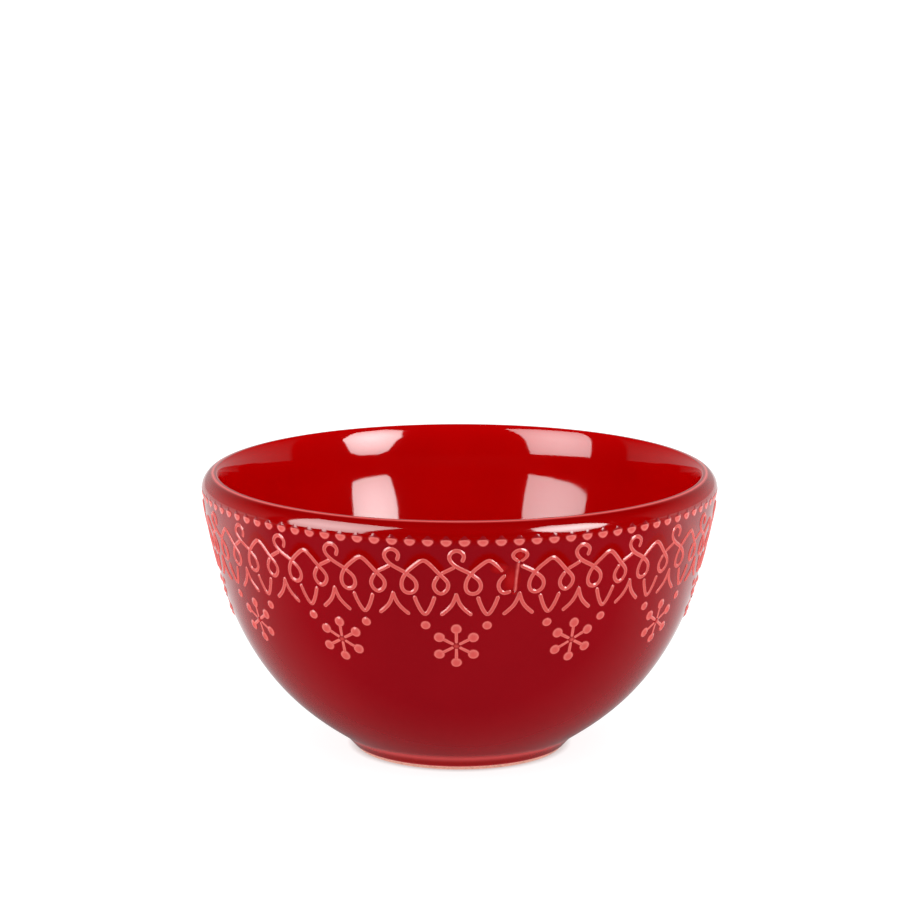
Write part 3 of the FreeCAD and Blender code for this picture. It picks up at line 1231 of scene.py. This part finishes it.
@dataclass
class InsideGlaze(Piece):
    """The glaze of the inside, from the top of the lip to the floor.

    Attributes:
        front_step: distance between the rings that show.
        back_step: distance between the hidden rings.
        front_round: points of the lip's round that shows.
        back_round: points of the hidden round.
        pole_gap: how many of the section's points are left out round the floor's centre.
    """

    columns: int = 360
    front_step: float = 1.2
    back_step: float = 9.0
    front_round: int = 14
    back_round: int = 5
    pole_gap: int = 4

    def shape(self) -> Shell:
        """A closed skin: rings from the lip's top to a pole on the floor, and back behind."""
        round_edge = SECTION.lip_round(count=self.front_round)
        wall = SECTION.glazed_inside()[:-self.pole_gap]
        front = np.vstack([round_edge, resample(wall, self.front_step)[1:]])
        clay = SECTION.glazed_inside(SECTION.glaze)[:-self.pole_gap]
        clay_edge = SECTION.lip_round(SECTION.glaze, self.back_round)[::-1]
        back = np.vstack([resample(clay, self.back_step)[::-1], clay_edge[1:]])
        floor = SECTION.recess_depth + SECTION.base_thickness
        poles = ((0, 0, floor - SECTION.glaze), (0, 0, floor))
        shell = Shell()
        grid = spin(np.vstack([back, front]), self.columns)[:, ::-1]
        shell.add_closed_rings(grid, EVEN_GLAZE, poles, (EVEN_GLAZE, EVEN_GLAZE))
        return shell


@dataclass
class BaseGlaze(Piece):
    """The glaze of the recess inside the foot ring.

    Attributes:
        cove: radius of the round under the ceiling.
        ceiling_rings: radii of the ceiling's rings.
    """

    columns: int = 180
    cove: float = 1.2
    ceiling_rings: tuple = (12.0, 1.0)

    def shape(self) -> Shell:
        """A closed tray: up the ring's inner side, over the round into the ceiling, and back."""
        radius = SECTION.recess_radius
        skin = radius - SECTION.glaze
        ceiling = SECTION.recess_depth
        top = ceiling + SECTION.glaze
        cove = quarter((skin, ceiling - self.cove), (skin, ceiling), (skin - self.cove, ceiling), 8)
        rings = [(ring, ceiling) for ring in self.ceiling_rings]
        face = np.vstack([[(skin, SECTION.bare_foot)], cove, rings])
        rear = [(self.ceiling_rings[-1], top), (radius, top), (radius, SECTION.bare_foot)]
        shell = Shell()
        grid = spin(np.vstack([rear, face]), self.columns)
        shell.add_closed_rings(grid, EVEN_GLAZE, ((0, 0, top), (0, 0, ceiling)),
                               (EVEN_GLAZE, EVEN_GLAZE))
        return shell


@dataclass
class FootRing(Piece):
    """The ring of clay that the bowl stands on, bare along its edge.

    Attributes:
        side_points: points up its outer side.
        round_points: points of each narrow round.
        face_points: points across its flat face.
    """

    columns: int = 360
    side_points: int = 10
    round_points: int = 7
    face_points: int = 8

    def shape(self) -> Shell:
        """A closed ring: the solids' section, with the narrow rounds on its flat face."""
        edge = SECTION.foot_edge
        inner = SECTION.recess_radius
        side = SECTION.foot_side(edge, SECTION.glaze, self.side_points)[::-1]
        outer = side[-1, 0]
        profile = np.vstack([
            side,
            quarter(side[-1], (outer, 0), (outer - edge, 0), self.round_points)[1:],
            np.linspace((outer - edge, 0), (inner + edge, 0), self.face_points)[1:],
            quarter((inner + edge, 0), (inner, 0), (inner, edge), self.round_points)[1:],
            [(inner, SECTION.foot_height)],
        ])
        shell = Shell()
        shell.add_ring_grid(spin(profile, self.columns), {}, wrap_rows=True)
        return shell


@dataclass
class RimBeads(Piece):
    """The row of round beads that runs up into the lip's roll.

    Attributes:
        rise: how far their middles lie above the roll's foot.
        blank_drop: how far under their middles their coral starts to fade upwards.
    """

    count: int = 94
    first_angle: float = 0.9
    rise: float = 0.55
    blank_drop: float = 0.8
    bead: Dome = Dome(width=3.6, tall=4.2, proud=0.42, fullness=1.35, rings=8, spokes=18)

    def shape(self) -> Shell:
        """One dome for each bead, whose coral fades into the roll's red above its middle."""
        shell = Shell()
        height = SECTION.lip_foot + self.rise
        for place in range(self.count):
            angle = self.first_angle + place * 360 / self.count
            self.bead.raise_on(shell, angle, height, height - self.blank_drop)
        return shell


@dataclass
class Strokes(Piece):
    """Copies of one stroke round the band.

    Attributes:
        paths: (n, 2) paths of the strokes that make the motif.
        angles: where its copies stand.
        ridge: the strokes' section.
    """

    paths: list
    angles: list
    ridge: Ridge = Ridge()

    def shape(self) -> Shell:
        """Sweeps each path at each angle."""
        shell = Shell()
        for angle in self.angles:
            for path in self.paths:
                self.ridge.sweep(shell, path, angle)
        return shell


@dataclass
class LaceArches(Strokes):
    """The arches, of which the one beside the mould seam lost its right leg.

    Attributes:
        kept: how many of an arch's points that one keeps.
        cut: how many samples it stops short of the last of them.
        fade: shares of the crest's height at that arch's two ends.
        hook: the points of its open loop.
    """

    kept: int = 12
    cut: int = 18
    fade: tuple = (1.0, 0.75)
    hook: tuple = (
        (0.330, 0.045), (0.250, 0.005), (0.160, 0.180), (0.200, 0.440), (0.245, 0.520),
    )

    def shape(self) -> Shell:
        """The whole arches, and the one whose leg fades out and whose loop is open."""
        shell = super().shape()
        faded = BAND.path(BAND.arch[:self.kept], BAND.lace_foot, BAND.arch_rise)
        hook = BAND.path(self.hook, BAND.lace_foot, BAND.arch_rise)
        self.ridge.sweep(shell, faded[:-self.cut], BAND.first_vee, fade=self.fade)
        self.ridge.sweep(shell, hook, BAND.first_vee)
        return shell


@dataclass
class PearlDots(Piece):
    """One pearl under each vee."""

    pearl: Dome = Dome(width=2.8, tall=2.65, proud=0.48, fullness=1.4)

    def shape(self) -> Shell:
        """A dome at each vee's angle."""
        shell = Shell()
        for angle in BAND.angles(BAND.first_vee):
            self.pearl.raise_on(shell, angle, BAND.chevron_foot - BAND.pearl_gap)
        return shell


@dataclass
class Snowflakes(Piece):
    """Six thin arms that rise from a low hub to a pearl at the end of each.

    Attributes:
        radius: from the hub to the pearls' middles.
        arm_reach: where an arm starts and ends, as shares of that.
        arm_fade: shares of the crest's height at an arm's two ends.
    """

    radius: float = 5.35
    arms: int = 6
    arm_reach: tuple = (0.10, 0.95)
    arm_fade: tuple = (0.30, 1.0)
    arm: Ridge = Ridge(width=0.9, proud=0.36, step=0.4, strips=8)
    pearl: Dome = Dome(width=3.1, tall=3.1, proud=0.55, fullness=1.4)
    hub: Dome = Dome(width=2.4, tall=2.2, proud=0.42, fullness=1.6, spread=1.2, thinness=0.24)

    def shape(self) -> Shell:
        """Arms and pearls under every second peak, laid along the slope of the wall."""
        shell = Shell()
        centre = BAND.chevron_foot - BAND.flake_gap
        slope = float(wall_slope(centre))
        for angle in BAND.angles(BAND.first_peak, 2):
            for arm in range(self.arms):
                turn = 2 * math.pi * arm / self.arms
                tip = np.array([self.radius * math.sin(turn), self.radius * math.cos(turn) * slope])
                path = np.array([0, centre]) + np.outer(self.arm_reach, tip)
                self.arm.sweep(shell, path, angle, fade=self.arm_fade)
                height = centre + tip[1]
                aside = math.degrees(tip[0] / float(wall_radius(np.array(height))))
                self.pearl.raise_on(shell, angle + aside, height)
            self.hub.raise_on(shell, angle, centre)
        return shell


@dataclass
class SeamRidge(Piece):
    """The mould seam's strokes: the ring of the filled curl, the ridge under it and the tail.

    Attributes:
        ring: the points of the curl's ring, in shares of a repeat and of the curl's rise.
        line: the points of the ridge, in shares of a repeat and of the lace's rise.
        tail: the points of the curl's tail, as the ring's.
        ring_form: the section of the curl's ring.
        line_form: the section of the ridge, over which the glaze hardly breaks.
        tail_form: the section of the tail.
    """

    ring: tuple = (
        (0.010, 0.540), (0.085, 0.760), (-0.025, 0.960), (-0.135, 0.760), (-0.060, 0.530),
    )
    line: tuple = ((-0.076, 0.07), (-0.070, 0.38), (-0.050, 0.68))
    tail: tuple = ((0.018, 0.262), (0.138, 0.100), (0.206, 0.0))
    ring_form: Ridge = Ridge(width=1.05)
    line_form: Ridge = Ridge(width=1.2, proud=0.5, thinness=0.27)
    tail_form: Ridge = Ridge()

    def shape(self) -> Shell:
        """The curl's ring, the ridge down to the peak, and the tail."""
        shell = Shell()
        curl = (BAND.curl_foot, BAND.curl_rise)
        ring = BAND.path(self.ring, *curl)
        line = BAND.path(self.line, BAND.lace_foot, BAND.lace_rise)
        tail = BAND.path(self.tail, *curl)
        self.ring_form.sweep(shell, ring, BAND.seam_angle)
        self.line_form.sweep(shell, line, BAND.seam_angle)
        self.tail_form.sweep(shell, tail, BAND.seam_angle)
        return shell


@dataclass
class SeamSwelling(Piece):
    """The smooth swelling beside the mould seam, in the full red of the glaze.

    Attributes:
        curl_spot: the dome that fills the curl: degrees from the seam, height as a share of the
            curl's rise, width, width up the wall and how far it stands proud.
        spots: the domes left of the ridge and at its foot, with heights above the lace's foot.
    """

    curl_spot: tuple = (-0.35, 0.75, 3.4, 3.2, 0.5)
    spots: tuple = (
        (-2.0, 3.8, 5.2, 8.4, 0.34), (-4.6, 7.2, 6.0, 3.4, 0.16), (-1.3, 0.1, 1.7, 1.5, 0.55),
    )

    @property
    def name(self) -> str:
        """The name of its object, which is the second that stands for its node."""
        return "seam_swelling"

    def shape(self) -> Shell:
        """Low broad domes that flow together."""
        shell = Shell()
        aside, share, *form = self.curl_spot
        self.raise_spot(shell, aside, BAND.curl_foot + share * BAND.curl_rise, form)
        for aside, rise, *form in self.spots:
            self.raise_spot(shell, aside, BAND.lace_foot + rise, form)
        return shell

    def raise_spot(self, shell: Shell, aside: float, height: float, form: list) -> None:
        """Adds one dome.

        Args:
            shell: the mesh that it is added to.
            aside: degrees from the seam.
            height: its middle's height.
            form: its width, its width up the wall and how far it stands proud.
        """
        spot = Dome(*form, fullness=2.0, spread=1.3, rings=9, spokes=28)
        spot.raise_on(shell, BAND.seam_angle + aside, height)


@dataclass
class ClayWall:
    """The clay inside the glaze, whose solid stays as it is."""

    node: str = "clay_wall"
    finish: Finish = BARE_CLAY

    def dress(self, frame: dict) -> None:
        """Gives the node's own object its material.
        """
        item = frame["nodes"][self.node]
        item.data.materials.clear()
        item.data.materials.append(self.finish.material())
        LOG.info("%s: dressed", self.node)


# Studio

# Glossy depth between that of a ray's first mirror and that of its second.
FIRST_MIRROR = 1.5
# The point that the soft boxes are turned to.
BOWL_MIDDLE = np.array([0, 0, 0.05])


class Outline(Enum):
    """The outlines of soft boxes, as corners in half widths and half heights."""

    SQUARE = ((1, 1), (-1, 1), (-1, -1), (1, -1))
    OCTAGON = ((1, 0), (0.71, 0.71), (0, 1), (-0.71, 0.71),
               (-1, 0), (-0.71, -0.71), (0, -1.08), (0.71, -0.71))


@dataclass(frozen=True)
class Box:
    """A soft box: a lamp that lights the bowl, and a lit cloth that only mirrors see.

    Attributes:
        name: the lamp's name.
        place: its centre, in metres.
        size: width and height, in metres.
        outline: the cloth's outline.
        level: brightness of its light on the bowl.
        mirrored: brightness of the cloth's middle in the glaze.
        edge: brightness of its corners over that of its middle.
    """

    name: str
    place: tuple
    size: tuple
    outline: Outline
    level: float
    mirrored: float
    edge: float

    def build(self) -> None:
        """Makes the lamp and the cloth, turned to the bowl's middle."""
        aim = BOWL_MIDDLE - np.array(self.place)
        turn = (math.atan2(math.hypot(aim[0], aim[1]), -aim[2]), 0, math.atan2(-aim[0], aim[1]))
        lamp = bpy.data.lights.new(self.name, "AREA")
        lamp.shape = "RECTANGLE"
        lamp.size, lamp.size_y = self.size
        lamp.energy = self.level * math.pi * self.size[0] * self.size[1]
        light = bpy.data.objects.new(self.name, lamp)
        cloth = bpy.data.objects.new(self.name + "_cloth", self.cloth())
        for item in (light, cloth):
            item.location = self.place
            item.rotation_euler = turn
            item.visible_camera = False
            bpy.context.scene.collection.objects.link(item)
        light.visible_glossy = False
        cloth.visible_diffuse = False
        cloth.visible_shadow = False

    def cloth(self) -> bpy.types.Mesh:
        """The cloth's mesh, brightest in the middle, falling off smoothly to its corners.

        Only a ray's first mirror shows it, so that the bowl doesn't mirror its own mirrors.
        """
        half = np.array(self.size) / 2
        rim = (np.array(self.outline.value) * half).tolist()
        mesh = bpy.data.meshes.new(self.name + "_cloth")
        mesh.from_pydata([(*corner, 0) for corner in rim], [], [range(len(rim))])
        made = bpy.data.materials.new("lit nylon of " + self.name)
        tree = empty_tree(made)
        place = add(tree, "ShaderNodeTexCoord").outputs["Object"]
        away = add(tree, "ShaderNodeVectorMath", {0: place}, operation="LENGTH")
        level = add(tree, "ShaderNodeMapRange", {
            "Value": away.outputs["Value"], "From Min": 0.0, "From Max": float(np.hypot(*half)),
            "To Min": self.mirrored, "To Max": self.mirrored * self.edge},
            interpolation_type="SMOOTHSTEP")
        path = add(tree, "ShaderNodeLightPath")
        first = add(tree, "ShaderNodeMath", {
            0: path.outputs["Glossy Depth"], 1: FIRST_MIRROR}, operation="LESS_THAN")
        once = add(tree, "ShaderNodeMath", {0: level.outputs["Result"], 1: first.outputs[0]},
                   operation="MULTIPLY")
        glow = add(tree, "ShaderNodeEmission", {"Strength": once.outputs[0]})
        add(tree, "ShaderNodeOutputMaterial", {"Surface": glow.outputs["Emission"]})
        mesh.materials.append(made)
        return mesh


@dataclass(frozen=True)
class Studio:
    """White floor and surroundings, two soft boxes in front, and the photograph's camera.

    Attributes:
        fill: light of the surroundings on the bowl, where 1 is white.
        fill_top: what it gains overhead: (from, to, rise) along the Z of a ray's direction.
        fill_side: what it gains at the two sides, along the size of X.
        bounce: light that the floor beside the foot adds to what it gets from the lamps.
        bounce_away: what it gains away from the foot: (from, to, rise) along the distance.
        bounce_side: what it gains at the two sides, along the size of X.
        floor_glow: share of the floor's white that isn't its lit colour, so the shadow stays faint.
        contact_shadow_glow: what is left of that share right at the foot, which paints a thin
            contact shadow there.
        glow_reach: distances between which the first share grows to the whole.
        contact_shadow_reach: distances between which the second does, the painted shadow's width.
        floor_half: half the floor's width.
        floor_paint: the floor's lit grey, which lights the bowl.
        floor_seen: the lit grey that the camera sees under the floor's own white.
        floor_mirrored: how bright the glaze sees the floor: (from, to, rise) along Y, in metres.
        set_mirrored: the same for the surroundings, along the Y of a ray's direction.
        overhead: between which Z of a ray's direction the mirrored surroundings go dark.
        eye: the camera's place.
        tilt: how far down it looks, in radians.
        focal_pixels: its focal length, in widths of a pixel.
        photo_pixels: the photograph's width.
        sensor: its sensor's width, in millimetres.
    """

    fill: float = 0.40
    fill_top: tuple = ((0.3, 1.0, 0.7),)
    fill_side: tuple = ((0.4, 1.0, 0.6),)
    bounce: float = 1.15
    bounce_away: tuple = ((0.05, 0.13, -0.58),)
    bounce_side: tuple = ((0.05, 0.15, 1.30),)
    floor_glow: float = 0.86
    contact_shadow_glow: float = 0.42
    glow_reach: tuple = (0.10, 0.45)
    contact_shadow_reach: tuple = (0.030, 0.033)
    floor_half: float = 4.0
    floor_paint: tuple = (0.8, 0.8, 0.8, 1)
    floor_seen: tuple = (0.3, 0.3, 0.3, 1)
    floor_mirrored: tuple = ((-0.058, -0.005, 0.23), (-0.005, 0.10, 0.72))
    set_mirrored: tuple = ((0.03, 0.09, 0.30), (0.09, 0.80, 0.25), (0.80, 1.0, 0.06))
    overhead: tuple = (0.15, 0.65)
    eye: tuple = (-0.00275, -0.9754, 0.2780)
    tilt: float = 0.193237
    focal_pixels: float = 3432.58
    photo_pixels: int = 900
    sensor: float = 36.0
    boxes: tuple = (
        Box("box_left", (-0.338, -0.226, 0.25), (0.30, 0.48), Outline.SQUARE, 1.6, 11.0, 0.60),
        Box("box_right", (0.352, -0.304, 0.295), (0.29, 0.47), Outline.OCTAGON, 2.1, 19.0, 0.40),
    )

    def climb(self, tree: Tree, value: Socket, spans: tuple) -> Socket:
        """Adds the nodes of a level that rises in straight spans from 0.

        Args:
            tree: the node tree.
            value: the output that the level follows.
            spans: (from, to, rise): each adds its rise between its two ends.

        Returns:
            The output that carries the level.
        """
        total = 0.0
        for low, high, rise in spans:
            span = add(tree, "ShaderNodeMapRange", {
                "Value": value, "From Min": low, "From Max": high, "To Min": 0.0, "To Max": rise})
            added = add(tree, "ShaderNodeMath", {0: span.outputs["Result"], 1: total},
                        operation="ADD")
            total = added.outputs[0]
        return total

    def climb_aside(self, tree: Tree, start: float, along: tuple, across: tuple) -> Socket:
        """Adds the nodes of a level that climbs along one measure and towards the two sides.

        Args:
            tree: the node tree.
            start: its lowest level.
            along: the output of the measure, and its spans.
            across: the output of X, and the spans along the size of X.

        Returns:
            The output that carries start + climb(along) + climb(|across|).
        """
        forth = self.climb(tree, *along)
        size = add(tree, "ShaderNodeMath", {0: across[0]}, operation="ABSOLUTE")
        aside = self.climb(tree, size.outputs[0], across[1])
        gain = add(tree, "ShaderNodeMath", {0: forth, 1: aside}, operation="ADD")
        whole = add(tree, "ShaderNodeMath", {0: gain.outputs[0], 1: start}, operation="ADD")
        return whole.outputs[0]

    def levels(self, tree: Tree, mirrored: Socket, direct: Socket) -> tuple:
        """Adds the nodes that set how bright each kind of ray sees the set.

        Args:
            tree: the node tree.
            mirrored: the level that mirrored rays see.
            direct: the level that the others see, but camera and clear rays, which see white.

        Returns:
            The outputs of the level, of whether a camera or clear ray asks, and of whether a
            mirrored one does.
        """
        path = add(tree, "ShaderNodeLightPath")
        seen = add(tree, "ShaderNodeMath", {
            0: path.outputs["Is Camera Ray"], 1: path.outputs["Is Transmission Ray"]},
            operation="MAXIMUM")
        glossy = add(tree, "ShaderNodeMix", {
            0: path.outputs["Is Glossy Ray"], 2: direct, 3: mirrored}, data_type="FLOAT")
        level = add(tree, "ShaderNodeMix", {0: seen.outputs[0], 2: glossy.outputs[0], 3: 1.0},
                    data_type="FLOAT")
        return level.outputs[0], seen.outputs[0], path.outputs["Is Glossy Ray"]

    def build_world(self) -> None:
        """White surroundings, which mirrors see bright behind the bowl and dark overhead."""
        world = bpy.data.worlds.new("white_set")
        tree = empty_tree(world)
        aim = add(tree, "ShaderNodeTexCoord").outputs["Generated"]
        split = add(tree, "ShaderNodeSeparateXYZ", {"Vector": aim})
        behind = self.climb(tree, split.outputs["Y"], self.set_mirrored)
        overhead = add(tree, "ShaderNodeMapRange", {
            "Value": split.outputs["Z"], "From Min": self.overhead[0],
            "From Max": self.overhead[1], "To Min": 1.0, "To Max": 0.0})
        mirrored = add(tree, "ShaderNodeMath", {0: behind, 1: overhead.outputs["Result"]},
                       operation="MULTIPLY")
        fill = self.climb_aside(tree, self.fill, (split.outputs["Z"], self.fill_top),
                                (split.outputs["X"], self.fill_side))
        level, _, _ = self.levels(tree, mirrored.outputs[0], fill)
        glow = add(tree, "ShaderNodeBackground", {"Color": (1, 1, 1, 1), "Strength": level})
        add(tree, "ShaderNodeOutputWorld", {"Surface": glow.outputs["Background"]})
        bpy.context.scene.world = world

    def build_floor(self) -> None:
        """A plain white floor: lit white paint, with a share of its own white for the camera, less
        of it right at the foot as a painted contact shadow.
        """
        half = self.floor_half
        mesh = bpy.data.meshes.new("floor")
        mesh.from_pydata([(-half, -half, 0), (half, -half, 0), (half, half, 0), (-half, half, 0)],
                         [], [(0, 1, 2, 3)])
        floor = bpy.data.objects.new("floor", mesh)
        bpy.context.scene.collection.objects.link(floor)
        made = bpy.data.materials.new("matt white set paint")
        tree = empty_tree(made)
        place = add(tree, "ShaderNodeTexCoord").outputs["Object"]
        split = add(tree, "ShaderNodeSeparateXYZ", {"Vector": place})
        mirrored = self.climb(tree, split.outputs["Y"], self.floor_mirrored)
        near = add(tree, "ShaderNodeVectorMath", {0: place}, operation="LENGTH")
        bounce = self.climb_aside(tree, self.bounce, (near.outputs["Value"], self.bounce_away),
                                  (split.outputs["X"], self.bounce_side))
        level, seen, glossy = self.levels(tree, mirrored, bounce)
        # The second fade paints a thin contact shadow round the foot.
        fades = [
            add(tree, "ShaderNodeMapRange", {
                "Value": near.outputs["Value"], "From Min": reach[0], "From Max": reach[1],
                "To Min": least, "To Max": 1.0}).outputs["Result"]
            for reach, least in ((self.glow_reach, self.floor_glow),
                                 (self.contact_shadow_reach, self.contact_shadow_glow))
        ]
        shade = add(tree, "ShaderNodeMath", {0: fades[0], 1: fades[1]}, operation="MULTIPLY")
        share = add(tree, "ShaderNodeMix", {0: seen, 2: 1.0, 3: shade.outputs[0]},
                    data_type="FLOAT")
        strength = add(tree, "ShaderNodeMath", {0: level, 1: share.outputs[0]},
                       operation="MULTIPLY")
        glow = add(tree, "ShaderNodeEmission", {"Strength": strength.outputs[0]}).outputs[0]
        paint = add(tree, "ShaderNodeBsdfDiffuse", {"Color": self.floor_paint})
        pale = add(tree, "ShaderNodeBsdfDiffuse", {"Color": self.floor_seen})
        shown = add(tree, "ShaderNodeAddShader", {0: pale.outputs[0], 1: glow})
        lit = add(tree, "ShaderNodeAddShader", {0: paint.outputs[0], 1: glow})
        mirror = add(tree, "ShaderNodeMixShader", {0: glossy, 1: lit.outputs[0], 2: glow})
        whole = add(tree, "ShaderNodeMixShader", {
            0: seen, 1: mirror.outputs[0], 2: shown.outputs[0]})
        add(tree, "ShaderNodeOutputMaterial", {"Surface": whole.outputs[0]})
        mesh.materials.append(made)

    def build_camera(self) -> None:
        """The camera that fits the photograph's view of the bowl, with a long lens."""
        data = bpy.data.cameras.new("camera")
        data.sensor_width = self.sensor
        data.lens = self.focal_pixels / self.photo_pixels * self.sensor
        camera = bpy.data.objects.new("camera", data)
        camera.location = self.eye
        camera.rotation_euler = (math.pi / 2 - self.tilt, 0, 0)
        bpy.context.scene.collection.objects.link(camera)
        bpy.context.scene.camera = camera

    def build(self) -> None:
        """Sets up the whole studio."""
        bpy.context.scene.view_settings.view_transform = "Standard"
        self.build_world()
        self.build_floor()
        self.build_camera()
        for box in self.boxes:
            box.build()


def pieces() -> list:
    """The bowl's visible pieces, from the body out to the relief."""
    relief = {"slot": Slot.RELIEF, "finish": RELIEF_GLAZE}
    lace = (BAND.lace_foot, BAND.arch_rise)
    curls = (BAND.curl_foot, BAND.curl_rise)
    chevrons = (BAND.chevron_foot, BAND.chevron_rise)
    seam = (BAND.seam_repeat,)
    left = BAND.path(BAND.peak, *chevrons)
    right = left * [-1, 1]
    return [
        FootRing("foot_ring", Slot.CLAY, BARE_CLAY),
        InsideGlaze("inside_glaze", Slot.RED, INNER_GLAZE),
        OutsideGlaze("outside_glaze", Slot.RED, OUTER_GLAZE),
        BaseGlaze("base_glaze", Slot.RED, OUTER_GLAZE),
        RimBeads("rim_beads", **relief),
        LaceArches("lace_arches", **relief, paths=[BAND.path(BAND.arch, *lace)],
                   angles=BAND.angles(BAND.first_vee)[1:]),
        Strokes("lace_curls", **relief, paths=[BAND.path(BAND.curl, *curls)],
                angles=BAND.angles(BAND.first_peak, left_out=seam)),
        Strokes("lace_leaves", **relief, paths=[BAND.path(BAND.leaf, *curls)],
                angles=BAND.angles(BAND.first_peak, left_out=seam),
                ridge=Ridge(width=0.95, proud=0.34, strips=8)),
        Strokes("chevron_vees", **relief, paths=[BAND.path(BAND.vee, *chevrons)],
                angles=BAND.angles(BAND.first_vee)),
        Strokes("chevron_peaks", **relief, paths=[left, right],
                angles=BAND.angles(BAND.first_peak)),
        PearlDots("pearl_dots", **relief),
        Snowflakes("snowflakes", **relief),
        SeamRidge("seam_ridge", **relief),
        SeamSwelling("seam_ridge", Slot.RELIEF, SEAM_GLAZE),
    ]


def main(frame: dict) -> None:
    """Builds the studio and every piece in order.
    """
    Studio().build()
    ClayWall().dress(frame)
    for piece in pieces():
        piece.build()


if __name__ == "__main__":
    logging.basicConfig(level=logging.INFO, format="%(name)s %(message)s")
    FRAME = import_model()
    main(FRAME)
